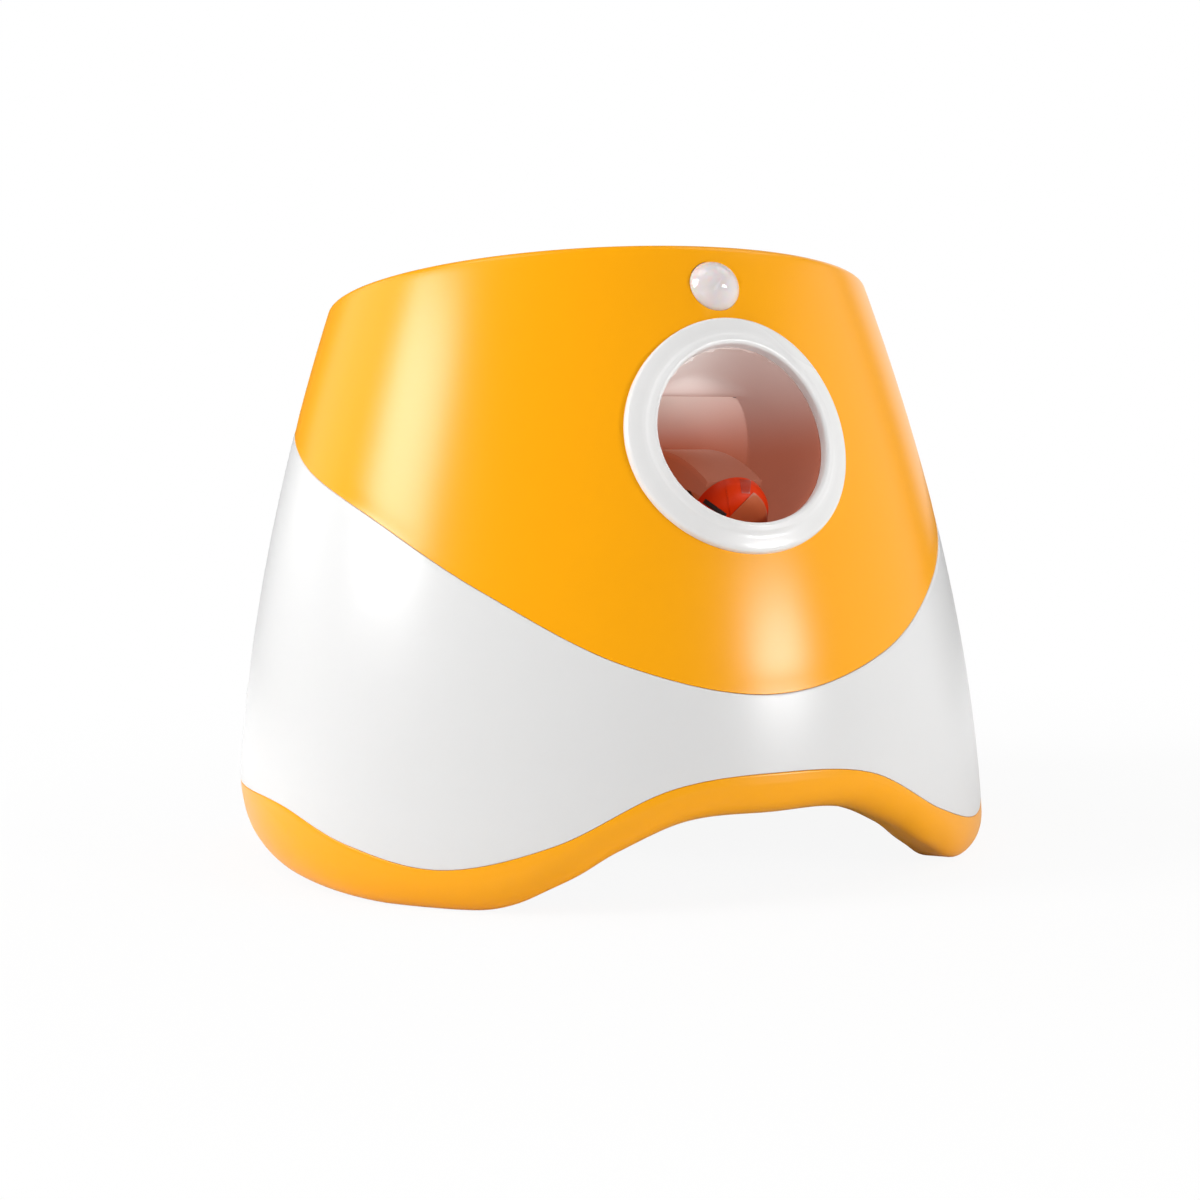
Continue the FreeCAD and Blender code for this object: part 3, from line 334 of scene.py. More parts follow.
def carve(mesh, steps):
    """Add or cut other meshes, given as (operation, mesh)."""
    piece = add_object("carved", to_data("carved", mesh))
    tools = []
    for operation, tool in steps:
        tools.append(add_object("tool", to_data("tool", tool)))
        step = piece.modifiers.new("step", "BOOLEAN")
        step.operation, step.object, step.solver = operation, tools[-1], "EXACT"
    result = from_modifiers(piece, tools)
    bmesh.ops.remove_doubles(result, verts=result.verts, dist=1e-3)
    return result


def melt(mesh, voxel, rounds):
    """One skin over a shape, with its inner corners filled and softened."""
    piece = add_object("melted", to_data("melted", mesh))
    skin = piece.modifiers.new("skin", "REMESH")
    skin.mode, skin.voxel_size, skin.adaptivity = "VOXEL", voxel, 0.0
    soften = piece.modifiers.new("soften", "SMOOTH")
    soften.factor, soften.iterations = 0.5, rounds
    return from_modifiers(piece)


def on_casing(angle, z):
    """Where a piece modelled on the XY plane, +Z outwards, sits on the casing."""
    return (Matrix.Rotation(math.radians(angle), 4, "Z") @ Matrix.Translation((0, -casing_radius(z), z))
            @ Matrix.Rotation(math.pi / 2 - casing_slope(z), 4, "X"))


def core(x, y, half_x, half_y, corner):
    """The nearest point of a rounded rectangle's inner box; corner is the rounding's radius."""
    return Vector((min(max(x, corner - half_x), half_x - corner),
                   min(max(y, corner - half_y), half_y - corner)))


def open_hole(mesh, side, z, half_x, half_z, corner, x=0.0):
    """Open a hole through a double wall at the front (side -1) or back (side 1), and close its rim."""
    def offset(co):
        middle = core(co.x - x, co.z - z, half_x, half_z, corner)
        return middle, Vector((co.x - x, co.z - z)) - middle

    gone = []
    for face in mesh.faces:
        centre = face.calc_center_median()
        if centre.y * side > 0 and offset(centre)[1].length < corner:
            gone.append(face)
    bmesh.ops.delete(mesh, geom=gone, context="FACES")
    rim = [e for e in mesh.edges if e.is_boundary]
    for vertex in {v for e in rim for v in e.verts}:
        depth = math.hypot(vertex.co.x, vertex.co.y) - casing_radius(vertex.co.z)
        middle, out = offset(vertex.co)
        across, up = middle + out.normalized() * corner
        radius = casing_radius(z + up) + depth
        vertex.co = Vector((x + across, side * math.sqrt(radius ** 2 - (x + across) ** 2), z + up))
    bmesh.ops.bridge_loops(mesh, edges=rim)


def settle(name, mesh, finish, body="casing", stands_for=()):
    """Turn a finished mesh into a piece: to metres, shaded, on its body."""
    bmesh.ops.scale(mesh, vec=(0.001, 0.001, 0.001), verts=mesh.verts)
    mesh.normal_update()
    for face in mesh.faces:
        face.smooth = True
    for edge in mesh.edges:
        if edge.is_manifold and edge.calc_face_angle(0.0) > crease:
            edge.smooth = False
    piece = add_object(name, to_data(name, mesh))
    piece.data.materials.append(finishes[finish])
    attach(piece, body)
    if stands_for:
        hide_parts(*stands_for)


# ---- nodes ----
def feed(tree, target, values):
    """Give inputs, by label or number, a number or a colour, or link another node's output to them."""
    for label, value in dict(values).items():
        if isinstance(value, (float, tuple)):
            target.inputs[label].default_value = value
        else:
            tree.links.new(value, target.inputs[label])


def node(tree, kind, values=(), **settings):
    made = tree.nodes.new(kind)
    for key, value in settings.items():
        setattr(made, key, value)
    feed(tree, made, values)
    return made


def ramp(tree, source, low, high, first=0.0, last=1.0, kind="SMOOTHSTEP"):
    """Map a value from low..high to first..last."""
    return node(tree, "ShaderNodeMapRange",
                {"Value": source, "From Min": low, "From Max": high, "To Min": first, "To Max": last},
                interpolation_type=kind).outputs["Result"]


def maths(tree, operation, *values):
    return node(tree, "ShaderNodeMath", enumerate(values), operation=operation).outputs["Value"]


def mix(tree, kind, factor, a, b):
    return node(tree, "ShaderNodeMix", {"Factor": factor, "A": a, "B": b}, data_type=kind).outputs["Result"]


def space(tree, kind):
    """Where a point is, in one of the kinds of coordinates."""
    return node(tree, "ShaderNodeTexCoord").outputs[kind]


def split(tree, vector):
    return node(tree, "ShaderNodeSeparateXYZ", {"Vector": vector}).outputs


def noise(tree, scale, detail, stretch_by=None):
    """Noise on Object coordinates; scale is per metre."""
    where = space(tree, "Object")
    if stretch_by:
        where = node(tree, "ShaderNodeMapping", {"Vector": where, "Scale": stretch_by}).outputs["Vector"]
    made = node(tree, "ShaderNodeTexNoise", {"Vector": where, "Scale": scale, "Detail": detail})
    return made.outputs["Fac"]


def group(name, inputs, output):
    """A node group: inputs with a tuple are colours, and so is an output called Colour."""
    tree = bpy.data.node_groups.new(name, "ShaderNodeTree")
    for label, value in inputs.items():
        kind = "NodeSocketColor" if isinstance(value, tuple) else "NodeSocketFloat"
        tree.interface.new_socket(name=label, in_out="INPUT", socket_type=kind).default_value = value
    kind = "NodeSocketColor" if output == "Colour" else "NodeSocketFloat"
    tree.interface.new_socket(name=output, in_out="OUTPUT", socket_type=kind)
    return tree, tree.nodes.new("NodeGroupInput").outputs, tree.nodes.new("NodeGroupOutput")


def make_pigment():
    """Slight unevenness of a moulded colour."""
    tree, given, sink = group("pigment", {"Colour": pure, "Deeper": pure, "Scale": 20.0}, "Colour")
    cloud = ramp(tree, noise(tree, given["Scale"], 1.0), 0.15, 0.85)
    feed(tree, sink, {"Colour": mix(tree, "RGBA", cloud, given["Colour"], given["Deeper"])})
    return tree


def laid_over(tree, given, sink, where, patches, colour):
    """Lay a colour over the given one where both masks are high."""
    mask = maths(tree, "MULTIPLY", maths(tree, "MULTIPLY", where, patches), given["Amount"])
    feed(tree, sink, {"Colour": mix(tree, "RGBA", mask, given["Colour"], colour)})
    return tree


def make_rubbed_edge():
    """Edges polished or whitened by handling."""
    tree, given, sink = group("rubbed_edge", {"Colour": pure, "Rubbed": pure, "Amount": 0.3}, "Colour")
    edge = ramp(tree, node(tree, "ShaderNodeNewGeometry").outputs["Pointiness"], 0.54, 0.66)
    patches = ramp(tree, noise(tree, 90.0, 5.0), 0.42, 0.62)
    return laid_over(tree, given, sink, edge, patches, given["Rubbed"])


def make_settled_dust():
    """Fine dust on what faces up."""
    tree, given, sink = group("settled_dust", {"Colour": pure, "Amount": 0.1}, "Colour")
    up = ramp(tree, split(tree, node(tree, "ShaderNodeNewGeometry").outputs["Normal"])["Z"], 0.55, 1.0)
    patches = ramp(tree, noise(tree, 160.0, 6.0), 0.4, 0.7)
    return laid_over(tree, given, sink, up, patches, (0.62, 0.59, 0.55, 1.0))


def make_mould_skin():
    """Height of a moulded surface: a soft flow waviness and a fine tool texture."""
    tree, given, sink = group("mould_skin", {"Flow": 0.3, "Grain": 0.1, "Grain Scale": 1500.0}, "Height")
    flow = maths(tree, "MULTIPLY", noise(tree, 26.0, 1.0), given["Flow"])
    grain = maths(tree, "MULTIPLY", noise(tree, given["Grain Scale"], 2.0), given["Grain"])
    feed(tree, sink, {"Height": maths(tree, "ADD", flow, grain)})
    return tree


def make_uneven_gloss():
    """Roughness between two values, with faint smudges and hairline scuffs."""
    tree, given, sink = group("uneven_gloss", {"Low": 0.1, "High": 0.2}, "Roughness")
    smudge = ramp(tree, noise(tree, 14.0, 1.0), 0.15, 0.9)
    scuff = ramp(tree, noise(tree, 220.0, 2.0, (1.0, 1.0, 14.0)), 0.62, 0.78)
    most = maths(tree, "MAXIMUM", smudge, maths(tree, "MULTIPLY", scuff, 0.6))
    feed(tree, sink, {"Roughness": ramp(tree, most, 0.0, 1.0, given["Low"], given["High"], "LINEAR")})
    return tree


def make_painted_inner_light():
    """Painted light and shade on the ball path's walls: pale at the top, where light comes in, painted bounce
    light below, darker on one side.
    """
    tree, given, sink = group("painted_inner_light", {"Shift": 0.0}, "Colour")
    x, y, z = split(tree, space(tree, "Object"))
    across = maths(tree, "MULTIPLY_ADD", y, view_right.y,
                   maths(tree, "MULTIPLY_ADD", x, view_right.x, given["Shift"]))

    # painted shade on the side to the right of the main view
    def by_side(lit_value, shaded_value):
        return ramp(tree, across, 0.020, 0.050, lit_value, shaded_value)

    white = ramp(tree, z, glow_low, glow_high, by_side(0.0, shade_side_white_low), by_side(1.0, shade_side_white_high))
    tint = mix(tree, "RGBA", white, painted_bounce_light, shaded_white)
    shaded_colour = node(tree, "ShaderNodeVectorMath", {0: tint, "Scale": by_side(1.0, shade_side_level)},
                  operation="SCALE")
    feed(tree, sink, {"Colour": shaded_colour.outputs["Vector"]})
    return tree


pure = (1.0, 1.0, 1.0, 1.0)
pigment = make_pigment()
rubbed_edge = make_rubbed_edge()
settled_dust = make_settled_dust()
mould_skin = make_mould_skin()
uneven_gloss = make_uneven_gloss()
painted_inner_light = make_painted_inner_light()


# ---- materials ----
def blank_material(name):
    material = bpy.data.materials.new(name)
    material.use_nodes = True
    return material, material.node_tree, material.node_tree.nodes["Principled BSDF"]


def use_group(tree, which, **values):
    """The output of a node group, with its inputs set or linked."""
    labels = {label.replace("_", " "): value for label, value in values.items()}
    return node(tree, "ShaderNodeGroup", labels, node_tree=which).outputs[0]


finishes = {}


def moulded(name, colour, deeper, gloss, grain=0.04, rub=(1, 1, 1), rub_amount=0.25, dust=0.12,
            grain_scale=1500.0, coat=0.0, shine=0.5, scatter=0.0, metal=0.0, glow=None):
    """A material with pigment, rubbed edges, dust, uneven gloss and a moulded skin."""
    finishes[name], tree, shader = blank_material(name)
    tint = use_group(tree, pigment, Colour=(*colour, 1.0), Deeper=(*deeper, 1.0), Scale=18.0)
    tint = use_group(tree, rubbed_edge, Colour=tint, Rubbed=(*rub, 1.0), Amount=rub_amount)
    skin = use_group(tree, mould_skin, Flow=0.15, Grain=grain, Grain_Scale=grain_scale)
    relief = node(tree, "ShaderNodeBump", {"Strength": 0.1, "Distance": 0.001, "Height": skin})
    feed(tree, shader, {"Base Color": use_group(tree, settled_dust, Colour=tint, Amount=dust),
                        "Roughness": use_group(tree, uneven_gloss, Low=gloss[0], High=gloss[1]),
                        "Normal": relief.outputs["Normal"], "Specular IOR Level": shine,
                        "Metallic": metal, "Coat Weight": coat, "Coat Roughness": 0.04,
                        "Subsurface Weight": scatter, "Subsurface Scale": 0.003})
    if glow:
        feed(tree, shader, {"Emission Color": (*glow, 1.0), "Emission Strength": 0.25})


def painted_light_wall(name, body, glow, shift):
    """An inner wall with painted light and shade: body scales the painted colour, and glow is a painted glow
    in that colour, though the wall is no lamp.

    A shift, in metres, moves the side with painted shade towards -X.
    """
    finishes[name], tree, shader = blank_material(name)
    tint = use_group(tree, painted_inner_light, Shift=shift)
    scaled = node(tree, "ShaderNodeVectorMath", {0: tint, "Scale": body}, operation="SCALE")
    feed(tree, shader, {"Base Color": scaled.outputs["Vector"],
                        "Roughness": use_group(tree, uneven_gloss, Low=0.4, High=0.55),
                        "Specular IOR Level": 0.25, "Emission Color": tint, "Emission Strength": glow})


shell_gloss = (0.275, 0.275)
orange_rub = (0.97, 0.55, 0.10)
moulded("orange_shell", (0.94, 0.385, 0.001), (0.93, 0.38, 0.001), shell_gloss, shine=0.32,
        rub=orange_rub, dust=0.03)
moulded("white_shell", (0.71, 0.71, 0.71), (0.703, 0.703, 0.7), shell_gloss, shine=0.38, dust=0.03)
moulded("bowl_orange", (0.94, 0.385, 0.002), (0.9, 0.35, 0.002), (0.31, 0.31), grain=0.2,
        rub=orange_rub, dust=0.03, grain_scale=900.0)
moulded("ring_white", (0.765, 0.76, 0.755), (0.75, 0.745, 0.74), (0.22, 0.34), grain=0.1, coat=0.15)
# the ball path's inside: painted light and shade, and a painted glow
painted_light_wall("tube_white", 1.14, 0.6, 0.0)
moulded("lens_milk", (0.73, 0.67, 0.67), (0.69, 0.64, 0.64), (0.12, 0.2), scatter=0.4, coat=0.3, dust=0.05)
moulded("striker_red", (0.7, 0.036, 0.001), (0.6, 0.028, 0.001), (0.35, 0.5), shine=0.12,
        rub=(0.9, 0.3, 0.08))
moulded("striker_dark", (0.42, 0.03, 0.008), (0.36, 0.025, 0.006), (0.35, 0.5), shine=0.25)
moulded("paddle_brown", (0.5, 0.12, 0.045), (0.42, 0.09, 0.03), (0.4, 0.55), shine=0.15)
moulded("light_clear", (0.55, 0.58, 0.55), (0.5, 0.53, 0.5), (0.1, 0.2), scatter=0.3)
# the gate behind the head: the same painted light and shade, with a painted glow
painted_light_wall("gate_white", 0.6, 0.68, 0.012)
moulded("pan_dark", (0.72, 0.72, 0.72), (0.66, 0.66, 0.66), (0.35, 0.5), grain=0.35, grain_scale=900.0)
moulded("frame_grey", (0.16, 0.165, 0.175), (0.13, 0.135, 0.14), (0.4, 0.55), grain=0.3,
        rub=(0.35, 0.35, 0.36))
moulded("gear_white", (0.8, 0.77, 0.68), (0.74, 0.71, 0.62), (0.28, 0.4), scatter=0.1)
moulded("steel", (0.56, 0.56, 0.57), (0.46, 0.46, 0.47), (0.2, 0.34), metal=1.0, rub=(0.75, 0.75, 0.76))
moulded("spring_steel", (0.36, 0.37, 0.39), (0.28, 0.29, 0.3), (0.22, 0.36), metal=1.0)
moulded("brass", (0.62, 0.38, 0.1), (0.52, 0.3, 0.08), (0.3, 0.45), metal=1.0, grain=0.3)
moulded("magnet", (0.03, 0.03, 0.034), (0.02, 0.02, 0.02), (0.5, 0.65), grain=0.4)
moulded("copper", (0.55, 0.2, 0.09), (0.42, 0.14, 0.06), (0.25, 0.4), metal=1.0)
moulded("rubber_black", (0.012, 0.012, 0.013), (0.02, 0.02, 0.02), (0.5, 0.65), grain=0.5,
        rub=(0.08, 0.08, 0.08), dust=0.2)
moulded("rubber_grey", (0.07, 0.07, 0.075), (0.05, 0.05, 0.052), (0.55, 0.7), grain=0.5,
        rub=(0.16, 0.16, 0.16), dust=0.3)
moulded("board_green", (0.01, 0.1, 0.035), (0.008, 0.075, 0.025), (0.2, 0.32))
moulded("cell_wrap", (0.02, 0.1, 0.3), (0.016, 0.08, 0.24), (0.15, 0.26))
moulded("strap_black", (0.02, 0.02, 0.02), (0.03, 0.03, 0.03), (0.6, 0.75), grain=0.6)
moulded("panel_grey", (0.045, 0.048, 0.052), (0.038, 0.04, 0.044), (0.34, 0.48), grain=0.45,
        rub=(0.16, 0.16, 0.17), dust=0.1)
moulded("button_orange", (0.93, 0.375, 0.008), (0.9, 0.35, 0.006), (0.2, 0.32), rub=(0.97, 0.6, 0.2),
        rub_amount=0.5)
moulded("button_white", (0.8, 0.8, 0.8), (0.76, 0.76, 0.76), (0.2, 0.32))
moulded("light_green", (0.1, 0.62, 0.14), (0.08, 0.5, 0.11), (0.1, 0.2), scatter=0.3, glow=(0.1, 0.9, 0.2))
moulded("lead_red", (0.35, 0.02, 0.015), (0.28, 0.016, 0.012), (0.35, 0.5))
moulded("black_plastic", (0.014, 0.014, 0.015), (0.02, 0.02, 0.02), (0.32, 0.46), grain=0.35,
        rub=(0.09, 0.09, 0.09))

# Each imported part takes the finish that model.json names for its slot.
node_slots = {row["node"]: row["material_slot"] for row in frame["record"]["subparts"]}
for name, shown in frame["nodes"].items():
    for place in shown.material_slots:
        place.material = finishes[node_slots[name]]


# ---- upper shell ----
def upper_section(angle):
    """A cut through the wall: its outside from the bottom up, the top, the inside and the bottom edge."""
    low = border(upper_border, angle) + seam / 2
    edge, lip, draw_in = 0.3, 2.6, 0.15
    high = rim_plane(casing_radius(rim_mid), angle)
    lean = casing_slope(high - lip)
    stop = high - lip + lip * math.sin(lean)
    outer = []
    for z in [low + edge] + stretch(low + edge, stop, 40) + [stop]:
        outer.append((casing_radius(z) - draw_in * (1 - smooth((z - low) / 7.0)), z))
    centre = (casing_radius(stop) - lip * math.cos(lean), stop - lip * math.sin(lean))
    over = arc(centre, lip, math.degrees(lean), 90, 6)[1:]
    step, inside = 2.5, wall + 0.3
    inner_top = casing_radius(high) - inside
    inner = [(inner_top, high - 0.25), (inner_top, high - step)]
    inner += [(casing_radius(z) - inside, z) for z in stretch(high - step, low, 6)]
    inner.append((casing_radius(low) - wall, low))
    under = arc((casing_radius(low) - draw_in - edge, low + edge), edge, -90, 0, 4)[:-1]
    return [polar(r, angle, z) for r, z in outer + over + inner + under]


def upper_shell():
    mesh = bent_grid(shell_columns, upper_section)
    open_hole(mesh, -1, port_height, *port_hole)
    open_hole(mesh, -1, sensor_height, *sensor_hole, casing_radius(sensor_height) * math.radians(sensor_turn))
    settle("upper_shell_cover", mesh, "orange_shell", stands_for=["upper_shell"])


# ---- waist ----
def waist_section(angle):
    low = border(lower_border, angle) + seam / 2
    high = border(upper_border, angle) - seam / 2
    edge = 0.3
    outer = [(surface_radius(z, angle), z)
             for z in [low + edge] + stretch(low + edge, high - edge, 44) + [high - edge]]
    over = arc((casing_radius(high) - edge, high - edge), edge, 0, 90, 5)[1:]
    inner = [(surface_radius(z, angle) - wall, z) for z in [high] + stretch(high, low, 6) + [low]]
    under = arc((surface_radius(low, angle) - edge, low + edge), edge, -90, 0, 4)[:-1]
    return [polar(r, angle, z) for r, z in outer + over + inner + under]


def waist_shell():
    mesh = bent_grid(shell_columns, waist_section)
    lean = math.cos(casing_slope(panel_height))
    open_hole(mesh, 1, panel_height, panel_width / 2, panel_tall / 2 * lean, panel_corner)
    open_hole(mesh, 1, jack_height, *jack_hole)
    settle("waist_cover", mesh, "white_shell", stands_for=["waist_shell"])


# ---- base skirt ----
def skirt_section(angle):
    high = border(lower_border, angle) - seam / 2
    bottom = skirt_bottom(angle)
    edge = 0.25
    turn = min(edge_roll(angle)[1], high - edge - 0.3 - bottom)
    heights = [bottom + turn * (1 - math.cos(math.radians(90 * i / 14))) for i in range(15)]
    heights += stretch(bottom + turn, high - edge, 6) + [high - edge]
    outer = [(surface_radius(z, angle), z) for z in heights]
    top = surface_radius(high, angle)
    over = arc((top - edge, high - edge), edge, 0, 90, 4)[1:]
    flat = foot_inner - 0.6
    forward = max(ramp_back + flat * math.cos(math.radians(angle)), 0.0)
    shelf = max(high + 0.6, pan_bottom + ramp_slope * forward)
    inner = [(top - wall - 0.2, high), (top - wall - 0.2, shelf + 1.0)]
    inner += [(flat - 1.6, shelf + 1.0), (flat - 1.6, (shelf + bottom) / 2)]
    inner += arc((flat - 0.2, bottom + 1.4), 1.4, 180, 270, 4)
    return [polar(r, angle, z) for r, z in outer + over + inner]


def base_skirt():
    mesh = bent_grid(shell_columns, skirt_section)
    settle("skirt_cover", mesh, "orange_shell", stands_for=["base_skirt"])


# ---- rim and bowl ----
def bowl_section(angle):
    """Over the rim from its outside, down the wall, along the floor to the neck, and back underneath."""
    a = math.radians(angle)
    out = Vector((math.sin(a), -math.cos(a), 0))
    up = Vector((0, 0, 1))
    outer_r = casing_radius(rim_plane(rim_radius, angle)) - wall - 0.45
    top = rim_plane(outer_r, angle)
    inner_top = rim_plane(bowl_radius, angle)
    lines = [(outer_r, top - 9), (outer_r, top - 0.9), (outer_r - 0.5, top - 0.35)]
    crest, roll = outer_r - 1.2, 3.0
    for t in stretch(0, 1, 3):
        r = crest + (bowl_radius + roll - crest) * t
        lines.append((r, rim_plane(r, angle) - 0.2))
    lines += arc((bowl_radius + roll, inner_top - 0.2 - roll), roll, 90, 180, 6)
    points = [out * r + up * z for r, z in lines]
    high = out * bowl_radius + up * (bowl_floor_rim + 7)
    end = Vector((0, neck_y, neck_top)) + out * bore
    knee = out * bowl_radius + up * bowl_floor_rim
    floor_way = end - knee
    low = knee + floor_way * min(10.0 / max(floor_way.length, 1.0), 0.5)
    for i in range(9):
        t = i / 8
        points.append(high * (1 - t) ** 2 + knee * 2 * t * (1 - t) + low * t * t)
    lip = end + (knee - end) * min(1.6 / max(floor_way.length, 1.0), 0.2)
    points += [low + (lip - low) * t for t in stretch(0, 1, 8)]
    down = end - up * 1.2
    points += [lip * (1 - t) ** 2 + end * 2 * t * (1 - t) + down * t * t for t in (0, 0.25, 0.5, 0.75, 1)]
    points += [end + out * tube_wall - up * 1.6, end + out * tube_wall - up * 2.4]
    outside = out * (bowl_radius + bowl_wall)
    return points + [outside + up * (bowl_floor_rim - 2.0), outside + up * (inner_top - 9)]


def hopper():
    mesh = bent_grid(300, bowl_section)
    settle("ball_bowl", mesh, "bowl_orange", stands_for=["hopper_bowl", "hopper_rim"])


# ---- launch port ----
port_centre = Vector((0, -casing_radius(port_height), port_height))
tube_in = Vector((0, math.cos(launch_tilt), -math.sin(launch_tilt)))
tube_up = Vector((0, math.sin(launch_tilt), math.cos(launch_tilt)))


def slid_in(start, lift):
    """A point moved along the launch tube until it lies lift above the casing's surface."""
    def outside(way):
        point = start + tube_in * way
        return math.hypot(point.x, point.y) > casing_radius(point.z) + lift

    return start + tube_in * last_inside(outside, -30.0, 40.0)


def beside_port(angle, radius, lift):
    """The point at a radius round the tube's axis that lies lift above the casing's surface."""
    a = math.radians(angle)
    across = Vector((1, 0, 0)) * radius * math.sin(a)
    return slid_in(port_centre + across + tube_up * radius * math.cos(a), lift)


def bezel_section(angle):
    """From the ring's outer edge over its face and raised lip to the sleeve inside the tube."""
    face, edge, crown = 2.1, 1.1, 1.2
    line = [(bezel_radius, -0.6)]
    line += arc((bezel_radius - edge, face - edge), edge, 0, 90, 5)
    line += [(33.4, face + 0.15), (31.9, face + 0.15)]
    line += [(31.0 - 2.0 * t, face + 0.15 + 0.7 * smooth(t)) for t in stretch(0, 1, 4)]
    line += arc((bore + crown, face + 0.95 - crown), crown, 60, 180, 8)
    line += [(bore, 0.0), (bore, 0.2 - sleeve_depth), (bore + 0.2, -sleeve_depth),
             (bore + tube_wall, -sleeve_depth), (bezel_radius - 4, -0.6)]
    return [beside_port(angle, radius, lift) for radius, lift in line]


def port_ring():
    mesh = bent_grid(200, bezel_section)
    settle("port_ring", mesh, "ring_white", stands_for=["port_bezel"])


def launch_tube():
    lean = Vector((0, 0, 1)).rotation_difference(tube_in).to_matrix().to_4x4()
    place = Matrix.Translation(port_centre) @ lean
    neck = Matrix.Translation((0, neck_y, 0))
    back = neck_y + bore + tube_wall + 1.0
    mouth = port_centre.y + 24.0
    inside = sleeve_depth + 0.05
    shape = carve(rod(bore + tube_wall, -20, 100, place), [
        ("UNION", rod(bore + tube_wall, 118, neck_top - 0.9, neck)),
        ("DIFFERENCE", rod(bore, -20, 120, place)),
        ("DIFFERENCE", rod(bore, 118, 200, neck)),
        ("UNION", box(bar_low, bar_high)),
        ("DIFFERENCE", box((-60, back, 0), (60, 120, 220))),
        ("DIFFERENCE", box(slot_low, slot_high))])
    shape = melt(shape, 1.1, 9)
    for vertex in shape.verts:
        above = math.hypot(vertex.co.x, vertex.co.y) - casing_radius(vertex.co.z)
        if vertex.co.y < mouth and above > -inside:
            vertex.co = slid_in(vertex.co, -inside)
    bmesh.ops.dissolve_degenerate(shape, dist=0.02, edges=shape.edges)
    settle("launch_barrel", shape, "tube_white", stands_for=["launch_tube"])


# ---- motion sensor ----
def sensor_dome():
    top, radius, under = sensor_dome_top, sensor_dome_radius, -wall
    centre = -2.6              # height of the sphere's middle
    profile = [(0.0, top)]
    profile += [(radius * math.sin(math.radians(t)), centre + radius * math.cos(math.radians(t)))
                for t in stretch(0, 68, 16)]
    profile += [(7.75, 0.3), (7.8, -0.5), (7.8, under - 0.8), (9.6, under - 1.0), (9.6, under - 2.2),
                (6.2, under - 2.2), (6.2, under), (5.5, 0.2), (0.0, top - 1.4)]
    dome = turned(profile, 72, on_casing(sensor_turn, sensor_height))
    settle("sensor_dome", dome, "lens_milk", stands_for=["sensor_lens"])


# ---- striker ----
def striker_place():
    """The resting arm's frame: Z along the arm, -Y towards the ball."""
    return Matrix.Translation(pivot) @ Matrix.Rotation(arm_lean, 4, "X")


def face_place():
    """A frame on the paddle's face: X right, Y up the arm, Z out of the face."""
    return (striker_place() @ Matrix.Translation((0, paddle_back - paddle_thick, arm_length))
            @ Matrix.Rotation(math.pi / 2, 4, "X"))


def sector(first, last, inner, outer, low, high, place, steps):
    """A flat slice of a disc about Z, from one direction to another (degrees, 0 = +X)."""
    mesh = bmesh.new()
    bmesh.ops.create_grid(mesh, x_segments=steps, y_segments=2, size=1)
    for vertex in mesh.verts:
        a = math.radians(first + (last - first) * (vertex.co.x + 1) / 2)
        r = inner + (outer - inner) * (vertex.co.y + 1) / 2
        vertex.co = Vector((r * math.cos(a), r * math.sin(a), low))
    grown = bmesh.ops.extrude_face_region(mesh, geom=mesh.faces[:])
    lifted = [item for item in grown["geom"] if isinstance(item, bmesh.types.BMVert)]
    bmesh.ops.translate(mesh, vec=(0, 0, high - low), verts=lifted)
    bmesh.ops.recalc_face_normals(mesh, faces=mesh.faces)
    bevel(mesh, [e for e in mesh.edges if e.is_manifold and e.calc_face_angle(0.0) > 0.8], 0.18, 2)
    bmesh.ops.transform(mesh, matrix=place, verts=mesh.verts)
    return mesh


def head_point(u, v, lift):
    """The head's skin at u mm across and v mm up as seen from the port, raised by lift."""
    place = face_place()
    inside = place.inverted()
    start = place.translation + sight_right * u + Vector((0, 0, v + head_middle))

    def measure(way):
        """A point on the line of sight, and how far out and up it is from the rounding's middle."""
        local = inside @ (start + sight_near * way)
        reach = max(math.hypot(local.x, local.y) - paddle_radius + head_round, 0.0)
        return local, reach, max(local.z + head_round, 0.0)

    skin = last_inside(lambda way: math.hypot(*measure(way)[1:]) <= head_round, -6.0, 24.0)
    local, reach, rise = measure(skin)
    across = math.hypot(local.x, local.y) or 1.0
    normal = Vector((local.x / across * reach, local.y / across * reach, rise)).normalized()
    return place @ (local + normal * lift)


def head_patch(point_at, columns, rows, lift):
    """A thin inlay on the head; point_at(s, t) gives its (u, v) for s and t from 0 to 1."""
    mesh = bmesh.new()
    bmesh.ops.create_grid(mesh, x_segments=columns, y_segments=rows, size=1)
    where = {}
    for vertex in mesh.verts:
        spot = point_at((vertex.co.x + 1) / 2, (vertex.co.y + 1) / 2)
        vertex.co = head_point(*spot, lift)
        where[tuple(vertex.co)] = spot
    grown = bmesh.ops.extrude_face_region(mesh, geom=mesh.faces[:])
    for item in grown["geom"]:
        if isinstance(item, bmesh.types.BMVert):
            item.co = head_point(*where[tuple(item.co)], -0.4)
    bmesh.ops.recalc_face_normals(mesh, faces=mesh.faces)
    return mesh


def between(corners):
    """Point of a four-cornered patch at s and t."""
    a, b, c, d = [Vector(corner) for corner in corners]
    return lambda s, t: tuple(a.lerp(b, s).lerp(d.lerp(c, s), t))


